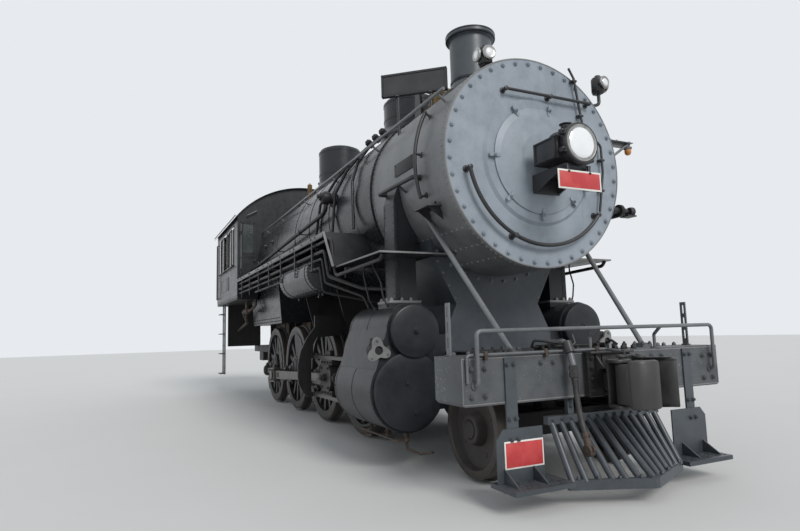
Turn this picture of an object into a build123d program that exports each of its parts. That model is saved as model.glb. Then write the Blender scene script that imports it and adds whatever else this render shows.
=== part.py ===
from build123d import *
import os
from math import asin, cos, degrees, radians, sin, sqrt

os.makedirs("parts", exist_ok=True)

# Steam locomotive with one leading axle and four driving axles.
# Every size is in millimetres. The engine is laid out with x forward from the smokebox front, y to the
# engine's left and z up from the top of the rails. Each piece is then moved by origin_shift, which puts the
# origin under the middle of the engine, level with the lowest points of the wheel flanges.

# Track and wheels
back_to_back = 1353
tyre_width = 140
flange_height = 28.6
flange_width = 32
lead_axle_x = -100
lead_radius = 419
lead_to_first_driver = 2642
driver_count = 4
driver_pitch = 1591.7
driver_radius = 724
main_driver = 3
crank_radius = 381
right_crank_angle = 200
left_crank_angle = right_crank_angle + 90
driver_journal = 120
lead_journal = 75
running_fit = 0.05
sliding_gap = 0.4
work_gap = 6

# Frames
frame_inner_y = 483
frame_thickness = 127
frame_top = 1070
frame_rail_depth = 140
binder_bottom = 330
binder_depth = 110
pedestal_half = 260
pedestal_taper = 50

# Boiler, smokebox and firebox
boiler_z = 2894
smokebox_radius = 1042
smokebox_wall = 18
smokebox_length = 1700
boiler_radius = 1062
boiler_length = 4700
firebox_length = 2600
firebox_half_width = 960
mud_ring_z = 1530
door_radius = 505
front_sheet = 20

# Cylinders and motion
cylinder_y = 1117.5
cylinder_z = driver_radius
cylinder_front_x = -706
cylinder_length = 1060
cylinder_radius = 392
cover_radius = 366
valve_z = 1294
valve_offset = 65
valve_radius = 275
valve_cover_radius = 255
piston_rod_radius = 48
guide_gap = 235
guide_depth = 45
guide_half_width = 62
main_rod_length = 3225
wrist_pin_radius = 46
main_pin_radius = 88
side_rod_y = 868
side_rod_thickness = 72
side_pin_radius = 65

# Front end
beam_front_x = 698
beam_depth = 400
beam_half_width = 1380
beam_bottom = 728
beam_top = 1087
coupler_z = 845

# Cab
cab_overlap = 950
cab_length = 2950
cab_half_width = 1500
cab_door_width = 306
cab_doorway_edge = 75
cab_sheet = 6
cab_sill_z = 2130
eave_z = 3880
roof_rise = 690

# Running boards
board_z = 2500
board_sheet = 10
board_front_x = -2155
board_outer_y = 1500
deck_z = 2050

# Places worked out from the sizes above
hub_y = back_to_back / 2
frame_outer_y = frame_inner_y + frame_thickness
first_driver_x = lead_axle_x - lead_to_first_driver
driver_x = [first_driver_x - driver_pitch * i for i in range(driver_count)]
main_x = driver_x[main_driver - 1]
smokebox_back_x = -smokebox_length
firebox_front_x = smokebox_back_x - boiler_length
firebox_back_x = firebox_front_x - firebox_length
cylinder_back_x = cylinder_front_x - cylinder_length
guide_back_x = main_x + main_rod_length - crank_radius - 580
yoke_thickness = 40
cab_front_x = firebox_back_x + cab_overlap
cab_back_x = cab_front_x - cab_length
frame_back_x = cab_back_x + 300
beam_back_x = beam_front_x - beam_depth
valve_y = cylinder_y - valve_offset
origin_shift = (4951, 0, flange_height)


def crosshead_x(crank_angle):
    """Where the wrist pin stands when the main crank pin is at crank_angle."""
    pin_x = crank_radius * cos(radians(crank_angle))
    pin_z = crank_radius * sin(radians(crank_angle))
    return main_x + pin_x + sqrt(main_rod_length ** 2 - pin_z ** 2)


# The piston rod still stands 60 mm deep in the cylinder when the crosshead is at its back end
piston_rod_length = cylinder_back_x + 60 - (main_x + main_rod_length - crank_radius)


def block(x, y, z):
    """A box from its (low, high) pairs along x, y and z."""
    centre = [(low + high) / 2 for low, high in (x, y, z)]
    size = [high - low for low, high in (x, y, z)]
    return Pos(*centre) * Box(*size)


def bar_x(x, y, z, radius):
    low, high = x
    return Pos((low + high) / 2, y, z) * Rot(0, 90, 0) * Cylinder(radius, high - low)


def bar_y(x, y, z, radius):
    low, high = y
    return Pos(x, (low + high) / 2, z) * Rot(90, 0, 0) * Cylinder(radius, high - low)


def bar_z(x, y, z, radius):
    low, high = z
    return Pos(x, y, (low + high) / 2) * Cylinder(radius, high - low)


def plate_xz(points, y):
    """A flat piece seen from the side: its (x, z) outline between two values of y."""
    outline = make_face(Polyline(*[(px, y[0], pz) for px, pz in points], close=True))
    return extrude(outline, amount=y[1] - y[0], dir=(0, 1, 0))


def plate_yz(points, x):
    """A flat piece seen from the front: its (y, z) outline between two values of x."""
    outline = make_face(Polyline(*[(x[0], py, pz) for py, pz in points], close=True))
    return extrude(outline, amount=x[1] - x[0], dir=(1, 0, 0))


def plate_xy(points, z):
    """A flat piece seen from above: its (x, y) outline between two values of z."""
    outline = make_face(Polyline(*[(px, py, z[0]) for px, py in points], close=True))
    return extrude(outline, amount=z[1] - z[0], dir=(0, 0, 1))


def turned_x(profile, y, z):
    """A round piece about a line along x, from its (x, radius) profile."""
    face = make_face(Polyline(*[(px, y, z + r) for px, r in profile], close=True))
    return revolve(face, axis=Axis((0, y, z), (1, 0, 0)), revolution_arc=360)


def turned_y(profile, x, z):
    """A round piece about a line along y, from its (y, radius) profile."""
    face = make_face(Polyline(*[(x, py, z + r) for py, r in profile], close=True))
    return revolve(face, axis=Axis((x, 0, z), (0, 1, 0)), revolution_arc=360)


def turned_z(profile, x, y):
    """A round piece about an upright line, from its (radius, z) profile."""
    face = make_face(Polyline(*[(x + r, y, pz) for r, pz in profile], close=True))
    return revolve(face, axis=Axis((x, y, 0), (0, 0, 1)), revolution_arc=360)


def pipe(points, radius, bend):
    """A round bar or pipe along straight runs joined by arcs."""
    route = FilletPolyline(*points, radius=bend) if len(points) > 2 else Line(*points)
    return sweep(Plane(origin=route @ 0, z_dir=route % 0) * Circle(radius), path=route)


def rod(start, end, radius):
    return pipe((start, end), radius, 0)


def joined(shapes):
    """One solid from pieces that touch or cross."""
    shapes = list(shapes)
    whole = shapes[0]
    for shape in shapes[1:]:
        whole = whole + shape
    return whole


def on_side(shape, side):
    """Pieces are drawn on the engine's left. The right side has their mirror image."""
    return shape if side == "left" else shape.mirror(Plane.XZ)


written = {}


def write(name, *shapes):
    """Write one sub-part, moved into the engine's own frame."""
    solids = [solid for shape in shapes for solid in shape.solids()]
    moved = [Pos(*origin_shift) * solid for solid in solids]
    written[name] = Compound(children=moved) if len(moved) > 1 else moved[0]
    export_step(written[name], f"parts/{name}.step")


smokebox_outside = bar_x((smokebox_back_x - 10, 10), 0, boiler_z, smokebox_radius)
boiler_outside = bar_x((firebox_back_x - 100, smokebox_back_x + 100), 0, boiler_z, boiler_radius)


# Main frames: one bar frame on each side, with a journal bore for every driving axle
def main_frame():
    rail = (frame_top - frame_rail_depth, frame_top)
    y = (frame_inner_y, frame_outer_y)
    low_front = driver_x[0] + pedestal_half
    low_back = driver_x[-1] - pedestal_half
    pieces = [block((frame_back_x, beam_back_x), y, rail)]
    pieces.append(block((low_back, low_front), y, (binder_bottom, binder_bottom + binder_depth)))
    for x in driver_x:
        foot, head = pedestal_half, pedestal_half - pedestal_taper
        low = binder_bottom + binder_depth
        pieces.append(plate_xz(((x - foot, low), (x + foot, low), (x + head, rail[0]), (x - head, rail[0])),
            y))
    frame = joined(pieces)
    for x in driver_x:
        frame -= bar_y(x, (y[0] - 1, y[1] + 1), driver_radius, driver_journal + running_fit)
    return frame


def pair(shape):
    """The left piece and its mirror image."""
    return shape, on_side(shape, "right")


write("main_frames", *pair(main_frame()))

# Cross ties between the frames, and the plates that carry the boiler barrel
truck_pivot_x = -1500
truck_pin_radius = 40
tie_thickness = 60
truck_eye_z = (480, 560)
tie_places = (
    # x centre, low z, high z
    (driver_x[0] - driver_pitch / 2, 500, frame_top),
    (driver_x[1] - driver_pitch / 2, 500, frame_top),
    (driver_x[2] - driver_pitch / 2, 500, 940),
)


def cross_ties():
    y = (-frame_inner_y, frame_inner_y)
    ties = [block((x - tie_thickness / 2, x + tie_thickness / 2), y, (low, high))
        for x, low, high in tie_places]
    pivot_tie = block((truck_pivot_x - 150, truck_pivot_x + 150), y, (700, 760))
    pivot_tie += bar_z(truck_pivot_x, 0, (truck_eye_z[0] - 30, 700), truck_pin_radius)
    pivot_tie += bar_z(truck_pivot_x, 0, (truck_eye_z[0] - 30, truck_eye_z[0] - work_gap),
        truck_pin_radius + 25)
    centre_casting = block((lead_axle_x - 170, lead_axle_x + 170), y, (frame_top - 90, frame_top))
    centre_casting += bar_z(lead_axle_x, 0, (700, frame_top - 90), 140)
    supports = []
    for x, _, top in tie_places[:2]:
        points = ((-frame_outer_y, top), (frame_outer_y, top), (760, 1560), (900, 2100), (-900, 2100),
            (-760, 1560))
        supports.append(plate_yz(points, (x - 9, x + 9)) - boiler_outside)
    for x in (tie_places[2][0], firebox_back_x + 120):
        for s in (-1, 1):
            supports.append(block((x - 12, x + 12), sorted((s * frame_inner_y, s * frame_outer_y)),
                                  (frame_top, mud_ring_z)))
    return ties + [pivot_tie, centre_casting] + supports


write("frame_crossties", *cross_ties())


# Boiler and what stands on it
band_width = 60
band_height = 6
band_places = (60, 1580, 2540, 3380, boiler_length)


def boiler_barrel():
    barrel = bar_x((firebox_front_x, smokebox_back_x), 0, boiler_z, boiler_radius)
    for place in band_places:
        x = smokebox_back_x - place
        barrel += bar_x((x, x + band_width), 0, boiler_z, boiler_radius + band_height)
    return barrel


def firebox_shell():
    bottom = firebox_half_width
    shoulder = boiler_z
    arch = bar_x((firebox_back_x, firebox_front_x), 0, boiler_z, boiler_radius)
    skirt = plate_yz(((-boiler_radius, shoulder), (-bottom, mud_ring_z), (bottom, mud_ring_z),
                      (boiler_radius, shoulder)), (firebox_back_x, firebox_front_x))
    return arch + skirt


write("boiler", boiler_barrel())
write("firebox", firebox_shell())

ash_pan_half = frame_inner_y - 15
ash_pan_points = ((-ash_pan_half, mud_ring_z), (-ash_pan_half, 1240), (-300, 1000), (300, 1000),
    (ash_pan_half, 1240),
                  (ash_pan_half, mud_ring_z))
write("ash_pan", plate_yz(ash_pan_points, (driver_x[3] + 250, driver_x[2] - 250)),
      plate_yz(ash_pan_points, (firebox_back_x + 60, driver_x[3] - 250)))


def smokebox_barrel():
    shell = bar_x((smokebox_back_x, -front_sheet), 0, boiler_z, smokebox_radius)
    shell -= bar_x((smokebox_back_x - 1, 1), 0, boiler_z, smokebox_radius - smokebox_wall)
    return shell - bar_z(stack_x, 0, (boiler_z, boiler_z + 2000), stack_bore)


stack_x = -1085
stack_bore = 205
stack_radius = 245
stack_top = 4720
rim_radius = 288


def smokestack():
    base_z = boiler_z + smokebox_radius - 120
    profile = (
        (stack_bore, base_z), (stack_radius + 130, base_z), (stack_radius + 120, 3985),
        (stack_radius + 30, 4040),
        (stack_radius, 4120), (stack_radius, stack_top - 75), (rim_radius, stack_top - 55),
        (rim_radius, stack_top), (stack_bore, stack_top),
    )
    stack = turned_z(profile, stack_x, 0) - smokebox_outside
    return stack


write("smokebox", smokebox_barrel())
write("smokestack", smokestack())

ring_radius = 635


def smokebox_front_sheet():
    profile = ((-front_sheet, door_radius), (25, door_radius), (25, ring_radius - 30), (0, ring_radius),
               (0, smokebox_radius), (-front_sheet, smokebox_radius))
    sheet = turned_x(profile, 0, boiler_z)
    return sheet


# The door lies on the ring and swings on an upright pin at the engine's left
hinge_x = 62
hinge_y = 560
hinge_pin_radius = 14


def smokebox_door_piece():
    profile = ((25.5, 0), (25.5, door_radius + 20), (40, door_radius + 20), (55, door_radius - 40), (85, 250),
               (95, 0))
    door = turned_x(profile, 0, boiler_z)
    for z in (boiler_z - 180, boiler_z + 180):
        door += block((48, 76), (430, hinge_y), (z - 30, z + 30))
        door += bar_z(hinge_x, hinge_y, (z - 30, z + 30), 30)
        door -= bar_z(hinge_x, hinge_y, (z - 31, z + 31), hinge_pin_radius + running_fit)
    return door


def door_hinge():
    pin = bar_z(hinge_x, hinge_y, (boiler_z - 240, boiler_z + 240), hinge_pin_radius)
    for z in (boiler_z - 235, boiler_z + 235):
        pin += bar_z(hinge_x, hinge_y, (z - 20, z + 20), 30)
        pin += block((25, hinge_x), (hinge_y - 30, hinge_y + 30), (z - 20, z + 20))
    return pin


write("smokebox_door", smokebox_door_piece())
write("smokebox_front", smokebox_front_sheet() + door_hinge())


lens_x = 600
headlight_radius = 176
shelf_z = boiler_z - 200


def headlight_piece():
    rim = lens_x - 12
    body = turned_x(((lens_x - 300, 0), (lens_x - 300, 140), (lens_x - 270, headlight_radius),
        (rim, headlight_radius),
                     (rim, 152), (lens_x, 140), (lens_x, 0)), 0, boiler_z)
    number_box = block((210, lens_x - 80), (-215, 215), (boiler_z - 130, boiler_z + 75))
    shelf = block((96, lens_x - 60), (-150, 150), (shelf_z, shelf_z + 22))
    shelf += block((96, 118), (-150, 150), (shelf_z - 150, shelf_z + 22))
    shelf += block((250, lens_x - 90), (-90, 90), (shelf_z + 10, boiler_z - 100))
    for y in (-150, 130):
        shelf += plate_xz(((96, shelf_z - 150), (96, shelf_z), (lens_x - 90, shelf_z)), (y, y + 20))
    return body + number_box + shelf


write("headlight", headlight_piece())


# Domes
def dome(x, radius, top, base_flare):
    base_z = boiler_z + boiler_radius - 130
    crown = radius * 0.32
    profile = (
        (0, base_z), (radius + base_flare, base_z), (radius + base_flare, base_z + 150),
        (radius + 25, base_z + 210), (radius, base_z + 260), (radius, top - crown),
        (radius * 0.93, top - crown * 0.45), (radius * 0.7, top - crown * 0.12), (radius * 0.35, top),
        (0, top),
    )
    return turned_z(profile, x, 0) - boiler_outside


sand_dome_x = -2640
steam_dome_x = -5680
write("sand_dome", dome(sand_dome_x, 400, 4560, 60))
write("steam_dome", dome(steam_dome_x, 400, 4780, 60))

# Bell between the stack and the sand dome, swinging on a yoke across the engine
bell_x = -1880
bell_axis_z = 4400
bell_pin_radius = 20
bell_foot_z = 3990


def bell_stand_piece():
    foot = block((bell_x - 100, bell_x + 100), (-330, 330), (3800, bell_foot_z))
    stand = foot - smokebox_outside - boiler_outside
    for s in (-1, 1):
        y = sorted((s * 270, s * 310))
        stand += plate_xz(((bell_x - 90, bell_foot_z), (bell_x + 90, bell_foot_z),
            (bell_x + 35, bell_axis_z + 40),
                           (bell_x - 35, bell_axis_z + 40)), y)
    return stand - bar_y(bell_x, (-311, 311), bell_axis_z, bell_pin_radius + running_fit)


def bell_piece():
    top = bell_axis_z - 20
    profile = (
        (0, top), (60, top), (110, top - 40), (128, top - 150), (150, top - 240), (200, top - 285),
        (200, top - 300), (165, top - 295), (0, top - 150),
    )
    bell = turned_z(profile, bell_x, 0)
    yoke = block((bell_x - 30, bell_x + 30), (-255, 255), (bell_axis_z - 30, bell_axis_z + 30))
    yoke += bar_y(bell_x, (-310, 310), bell_axis_z, bell_pin_radius)
    yoke += block((bell_x - 40, bell_x + 40), (-40, 40), (bell_axis_z - 40, bell_axis_z + 60))
    return bell + yoke


write("bell_stand", bell_stand_piece())
write("bell", bell_piece())


# Cylinders, saddle and steam pipes
def saddle_piece():
    x = (cylinder_back_x + 75, cylinder_front_x - 60)
    neck = 520
    points = (
        (-frame_inner_y, 560), (frame_inner_y, 560), (frame_inner_y, frame_top),
        (frame_outer_y + 60, frame_top),
        (frame_outer_y + 60, 1250), (neck, 1560), (800, 2080), (800, 2300), (-800, 2300), (-800, 2080),
        (-neck, 1560), (-frame_outer_y - 60, 1250), (-frame_outer_y - 60, frame_top),
        (-frame_inner_y, frame_top),
    )
    saddle = plate_yz(points, x) - smokebox_outside
    return saddle - block((truck_pivot_x - 155, truck_pivot_x + 155), (-500, 500), (400, 765))


def cylinder_piece():
    x = (cylinder_back_x + 20, cylinder_front_x - 20)
    barrel = bar_x(x, cylinder_y, cylinder_z, cylinder_radius)
    chest = bar_x(x, valve_y, valve_z, valve_radius)
    web = plate_yz(((cylinder_y - 300, cylinder_z + 250), (cylinder_y + 330, cylinder_z + 215),
                    (valve_y + 270, valve_z + 40), (valve_y - 270, valve_z + 40)), x)
    arm_x = (cylinder_back_x + 60, cylinder_front_x - 60)
    arm = plate_yz(((frame_outer_y, 520), (cylinder_y, 520), (cylinder_y, 1300), (frame_outer_y + 60, 1250),
                    (frame_outer_y + 60, frame_top), (frame_outer_y, frame_top)), arm_x)
    front_cover = bar_x((cylinder_front_x - 20, cylinder_front_x + 15), cylinder_y, cylinder_z, cover_radius)
    back_cover = bar_x((cylinder_back_x - 20, cylinder_back_x + 20), cylinder_y, cylinder_z, cover_radius)
    gland = bar_x((cylinder_back_x - 120, cylinder_back_x - 20), cylinder_y, cylinder_z, 105)
    valve_front = bar_x((cylinder_front_x - 20, cylinder_front_x + 45), valve_y, valve_z, valve_cover_radius)
    valve_back = bar_x((cylinder_back_x - 40, cylinder_back_x + 20), valve_y, valve_z, valve_cover_radius)
    whole = joined((barrel, chest, web, arm, front_cover, back_cover, gland, valve_front, valve_back))
    bore = bar_x((cylinder_back_x - 130, cylinder_front_x - 120), cylinder_y, cylinder_z,
                 piston_rod_radius + running_fit)
    return whole - bore


casing_half = 120
casing_x = -1090
casing_inner_y = 870
casing_outer_y = 1110


def steam_pipe_casing():
    seat_z = valve_z + valve_radius
    points = ((casing_outer_y, seat_z - 90), (casing_outer_y, 2640), (casing_outer_y - 40, 2770),
              (casing_outer_y - 110, 2850), (700, 2850), (700, 2340), (casing_inner_y, 2240),
              (casing_inner_y, seat_z - 90))
    casing = plate_yz(points, (casing_x - casing_half, casing_x + casing_half)) - smokebox_outside
    casing += block((casing_x - casing_half - 30, casing_x + casing_half + 30),
                    (casing_inner_y - 30, casing_outer_y + 80), (seat_z - 40, seat_z + 35))
    casing -= bar_x((cylinder_back_x, cylinder_front_x), valve_y, valve_z, valve_radius)
    return casing - saddle_piece()


write("cylinder_saddle", saddle_piece())
for side in ("right", "left"):
    write(f"{side}_cylinder", on_side(cylinder_piece(), side))
write("steam_pipes", *pair(steam_pipe_casing()))


# Guides, crossheads and rods
def guides_piece():
    y = (cylinder_y - guide_half_width, cylinder_y + guide_half_width)
    x = (guide_back_x, cylinder_back_x - 20)
    bars = [block(x, y, (cylinder_z + guide_gap, cylinder_z + guide_gap + guide_depth)),
            block(x, y, (cylinder_z - guide_gap - guide_depth, cylinder_z - guide_gap))]
    return bars


yoke_y = cylinder_y + 90


def guide_yoke():
    x = (guide_back_x - yoke_thickness, guide_back_x)
    top = 1560
    lug = guide_gap + guide_depth
    points = (
        (frame_inner_y, frame_top), (frame_outer_y + 20, frame_top), (frame_outer_y + 20, 1240), (760, 1270),
        (yoke_y - 90, 1250), (yoke_y - 30, 1150),
        (yoke_y - 30, cylinder_z + lug + 20), (yoke_y - 160, cylinder_z + lug),
        (yoke_y - 160, cylinder_z + guide_gap),
        (yoke_y, cylinder_z + guide_gap), (yoke_y, cylinder_z - guide_gap),
        (yoke_y - 160, cylinder_z - guide_gap),
        (yoke_y - 160, cylinder_z - lug), (yoke_y + 40, cylinder_z - lug - 20), (yoke_y + 110, 480),
        (yoke_y + 175, 600), (yoke_y + 190, 700), (yoke_y + 190, 880), (yoke_y + 150, 1060),
        (yoke_y + 60, 1240),
        (yoke_y - 60, 1400), (yoke_y - 60, top), (frame_inner_y, top),
    )
    return plate_yz(points, x)


def crosshead_piece(crank_angle):
    x = crosshead_x(crank_angle)
    shoe = guide_gap - sliding_gap
    slot = 50
    cheek = guide_half_width + 22
    body = plate_xz(((x - 200, cylinder_z - 110), (x - 90, cylinder_z - 170), (x + 140, cylinder_z - 170),
                     (x + 230, cylinder_z - 80), (x + 230, cylinder_z + 80), (x + 140, cylinder_z + 170),
                     (x - 90, cylinder_z + 170), (x - 200, cylinder_z + 110)),
                     (cylinder_y - cheek, cylinder_y + cheek))
    body -= block((x - 250, x + 120), (cylinder_y - slot, cylinder_y + slot),
        (cylinder_z - 300, cylinder_z + 300))
    for s in (-1, 1):
        z = sorted((cylinder_z + s * 165, cylinder_z + s * shoe))
        body += block((x - 215, x + 215), (cylinder_y - guide_half_width, cylinder_y + guide_half_width), z)
    body += bar_y(x, (cylinder_y - cheek, cylinder_y + cheek + 30), cylinder_z, wrist_pin_radius)
    body += bar_x((x + 120, x + piston_rod_length), cylinder_y, cylinder_z, piston_rod_radius)
    return body


def main_rod_piece(crank_angle):
    """The rod lies along x while it is drawn, then turns about the wrist pin to meet the crank pin."""
    x = crosshead_x(crank_angle)
    drop = degrees(asin(crank_radius * sin(radians(crank_angle)) / main_rod_length))
    big = x - main_rod_length
    y = (cylinder_y - 32, cylinder_y + 32)
    shank = plate_xz(((x - 60, cylinder_z - 48), (big + 130, cylinder_z - 72), (big + 130, cylinder_z + 72),
                      (x - 60, cylinder_z + 48)), y)
    flute = 14
    inset = plate_xz(((x - 220, cylinder_z - 24), (big + 330, cylinder_z - 44), (big + 330, cylinder_z + 44),
                      (x - 220, cylinder_z + 24)), (y[1] - flute, y[1] + 1))
    shank -= inset
    shank -= inset.mirror(Plane(origin=(0, cylinder_y, 0), z_dir=(0, 1, 0)))
    small_end = bar_y(x, (cylinder_y - 44, cylinder_y + 44), cylinder_z, 92)
    strap = block((big - 150, big + 190), (cylinder_y - 55, cylinder_y + 55),
        (cylinder_z - 125, cylinder_z + 125))
    eye = bar_y(big, (cylinder_y - 66, cylinder_y + 66), cylinder_z, main_pin_radius)
    whole = shank + small_end + strap + eye
    whole -= bar_y(x, (cylinder_y - 60, cylinder_y + 60), cylinder_z, wrist_pin_radius + running_fit)
    return whole.rotate(Axis((x, cylinder_y, cylinder_z), (0, 1, 0)), drop)


def pin_place(x, crank_angle):
    turn = radians(crank_angle)
    return x + crank_radius * cos(turn), driver_radius + crank_radius * sin(turn)


def side_rods_piece(crank_angle):
    y = (side_rod_y, side_rod_y + side_rod_thickness)
    bar_y_range = (side_rod_y + 12, side_rod_y + side_rod_thickness - 12)
    front_x, z = pin_place(driver_x[0], crank_angle)
    back_x, _ = pin_place(driver_x[-1], crank_angle)
    rods = block((back_x, front_x), bar_y_range, (z - 52, z + 52))
    eyes = [pin_place(x, crank_angle)[0] for x in driver_x]
    for x in eyes:
        rods += bar_y(x, y, z, 112)
    for x in eyes:
        rods -= bar_y(x, (y[0] - 1, y[1] + 1), z, side_pin_radius + running_fit)
    return rods


write("guides", *[piece for bar in guides_piece() for piece in pair(bar)])
write("guide_yokes", *pair(guide_yoke()))
sides = (("right", right_crank_angle), ("left", left_crank_angle))
for side, angle in sides:
    write(f"{side}_crosshead", on_side(crosshead_piece(angle), side))
    write(f"{side}_main_rod", on_side(main_rod_piece(angle), side))
    write(f"{side}_side_rods", on_side(side_rods_piece(angle), side))


# Springs over the driving axles, each a stack of leaves that grows longer upwards
spring_half = 430
leaf_count = 8
leaf_thickness = 13
spring_y = (frame_inner_y + 20, frame_outer_y - 20)


def spring(x):
    low = frame_top + 75
    top = low + leaf_count * leaf_thickness
    right_side = []
    for leaf in range(leaf_count):
        reach = spring_half - (leaf_count - 1 - leaf) * 48
        right_side += [(reach, low + leaf * leaf_thickness), (reach, low + (leaf + 1) * leaf_thickness)]
    left_side = [(-reach, z) for reach, z in reversed(right_side)]
    stack = plate_xz([(x + reach, z) for reach, z in right_side + left_side], spring_y)
    stack += block((x - 50, x + 50), (spring_y[0] - 8, spring_y[1] + 8), (frame_top, top + 12))
    for end in (x - spring_half + 35, x + spring_half - 35):
        stack += block((end - 15, end + 15), spring_y, (frame_top, top + 25))
    return stack


write("spring_rigging", *[piece for x in driver_x for piece in pair(spring(x))])

# Brakes: a shoe behind every driving wheel on a hanger, with a beam across and one pull rod along the middle
shoe_gap = 8
shoe_depth = 65
brake_drop = 434
brake_back = 680
brake_bar_radius = 22


def brake_set(x):
    """The pieces for one axle: the beam, and the shoe and hanger of each side."""
    low_z = driver_radius - brake_drop
    beam_x = x - brake_back
    beam = bar_y(beam_x, (-hub_y - 80, hub_y + 80), low_z, brake_bar_radius)
    shoe_y = (hub_y + flange_width + 8, hub_y + tyre_width - 5)
    inner = driver_radius + shoe_gap
    outer = inner + shoe_depth
    corners = [[(x + r * cos(radians(t)), driver_radius + r * sin(radians(t))) for t in (203, 212, 222)]
               for r in (inner, outer)]
    near, far = [[(px, shoe_y[0], pz) for px, pz in row] for row in corners]
    face = make_face([ThreePointArc(*near), Line(near[2], far[2]), ThreePointArc(*reversed(far)),
                      Line(far[0], near[0])])
    shoe = extrude(face, amount=shoe_y[1] - shoe_y[0], dir=(0, 1, 0))
    hanger = block((beam_x - 16, beam_x + 16), (frame_outer_y + 18, frame_outer_y + 42),
        (low_z - 35, frame_top - 60))
    hanger += block((beam_x - 45, beam_x + 45), (frame_outer_y, frame_outer_y + 42),
                    (frame_top - 115, frame_top - 45))
    return [beam, *pair(shoe), *pair(hanger)]


brake_pieces = [piece for x in driver_x for piece in brake_set(x)]
pull_rod = bar_x((driver_x[-1] - brake_back, driver_x[0] - brake_back), 0, driver_radius - brake_drop,
                 brake_bar_radius)
write("brake_rigging", joined([pull_rod] + brake_pieces))


# Rockers that move the valves, with their boxes on the frames and the valve rods
rocker_x = -2080
rocker_z = 1420


def valve_rod_piece():
    box = block((rocker_x - 95, rocker_x + 95), (frame_inner_y, frame_outer_y), (frame_top, rocker_z + 85))
    shaft = bar_y(rocker_x, (frame_outer_y, valve_y + 45), rocker_z, 42)
    arm = plate_xz(((rocker_x - 48, rocker_z), (rocker_x - 28, valve_z - 40), (rocker_x + 28, valve_z - 40),
                    (rocker_x + 48, rocker_z)), (valve_y - 30, valve_y + 30))
    collar = bar_y(rocker_x, (valve_y - 38, valve_y + 38), rocker_z, 70)
    stem = bar_x((rocker_x, cylinder_back_x - 40), valve_y, valve_z, 24)
    gland = bar_x((cylinder_back_x - 110, cylinder_back_x - 40), valve_y, valve_z, 70)
    return joined((box, shaft, arm, collar, stem, gland))


write("valve_rods", *pair(valve_rod_piece()))


# Driving wheels: tyre, rim, hub, spokes, crank boss, counterweight and pin for each side of an axle
spoke_count = 14


def driving_wheel(x, crank_angle, weight_span):
    inner = hub_y
    outer = hub_y + tyre_width
    tread = driver_radius
    flange = driver_radius + flange_height
    tyre = ((inner, tread - 130), (inner, flange - 6), (inner + 10, flange),
        (inner + flange_width - 8, flange - 6),
            (inner + flange_width, tread), (outer, tread - 3), (outer, tread - 130))
    wheel = turned_y(tyre, x, driver_radius)
    wheel += bar_y(x, (hub_y - 25, outer + 18), driver_radius, 205)
    for index in range(spoke_count):
        angle = crank_angle + 360 / spoke_count * (index + 0.5)
        spoke = Pos(x, inner + 75, driver_radius) * Rot(0, -angle, 0) * Pos(400, 0, 0) * Box(430, 62, 74)
        wheel += spoke
    pin_x, pin_z = pin_place(x, crank_angle)
    wheel += bar_y(pin_x, (inner + 25, outer + 24), pin_z, 150)
    wheel += block((-crank_radius, 0), (inner + 25, outer + 10), (-150, 150)).rotate(Axis.Y, 0).moved(
        Location((x, 0, driver_radius), (0, -crank_angle - 180, 0)))
    weight_angle = crank_angle + 180
    half = weight_span / 2
    arc_points = [(cos(radians(weight_angle + t)), sin(radians(weight_angle + t))) for t in (-half, 0, half)]
    rim = tread - 120
    ends = [(x + rim * c, inner + 30, driver_radius + rim * s) for c, s in arc_points]
    weight_face = make_face([ThreePointArc(*ends), Line(ends[2], ends[0])])
    wheel += extrude(weight_face, amount=tyre_width - 20, dir=(0, 1, 0))
    return wheel


side_rod_outer_y = side_rod_y + side_rod_thickness
main_rod_half = 66


def crank_pin(x, crank_angle):
    """The pin that the side rod runs on. The main pin goes on towards the main rod's big end."""
    pin_x, pin_z = pin_place(x, crank_angle)
    if x == main_x:
        end = cylinder_y - main_rod_half - work_gap
        return (bar_y(pin_x, (hub_y + 30, side_rod_outer_y + 10), pin_z, side_pin_radius)
                + bar_y(pin_x, (side_rod_outer_y + 4, end), pin_z, main_pin_radius))
    pin = bar_y(pin_x, (hub_y + 30, side_rod_outer_y + 26), pin_z, side_pin_radius)
    return pin + bar_y(pin_x, (side_rod_outer_y + 4, side_rod_outer_y + 24), pin_z, side_pin_radius + 19)


for number, x in enumerate(driver_x, start=1):
    span = 150 if number == main_driver else 96
    axle = bar_y(x, (-hub_y, hub_y), driver_radius, driver_journal)
    for side, angle in sides:
        axle += on_side(driving_wheel(x, angle, span) + crank_pin(x, angle), side)
    write(f"driver_axle_{number}", axle)


# Leading truck
def lead_axle_piece():
    inner = hub_y
    outer = hub_y + tyre_width
    flange = lead_radius + flange_height
    profile = (
        (inner - 25, 0), (inner - 25, 125), (inner + 45, 150), (inner + 60, lead_radius - 90),
        (inner, lead_radius - 70),
        (inner, flange - 6), (inner + 10, flange), (inner + flange_width - 8, flange - 6),
        (inner + flange_width, lead_radius), (outer, lead_radius - 3), (outer, lead_radius - 70),
        (inner + 88, lead_radius - 90), (inner + 75, 150), (outer + 10, 125), (outer + 10, 0),
    )
    wheel = turned_y(profile, lead_axle_x, lead_radius)
    axle = bar_y(lead_axle_x, (-hub_y, hub_y), lead_radius, lead_journal)
    return axle + wheel + wheel.mirror(Plane.XZ)


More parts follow.
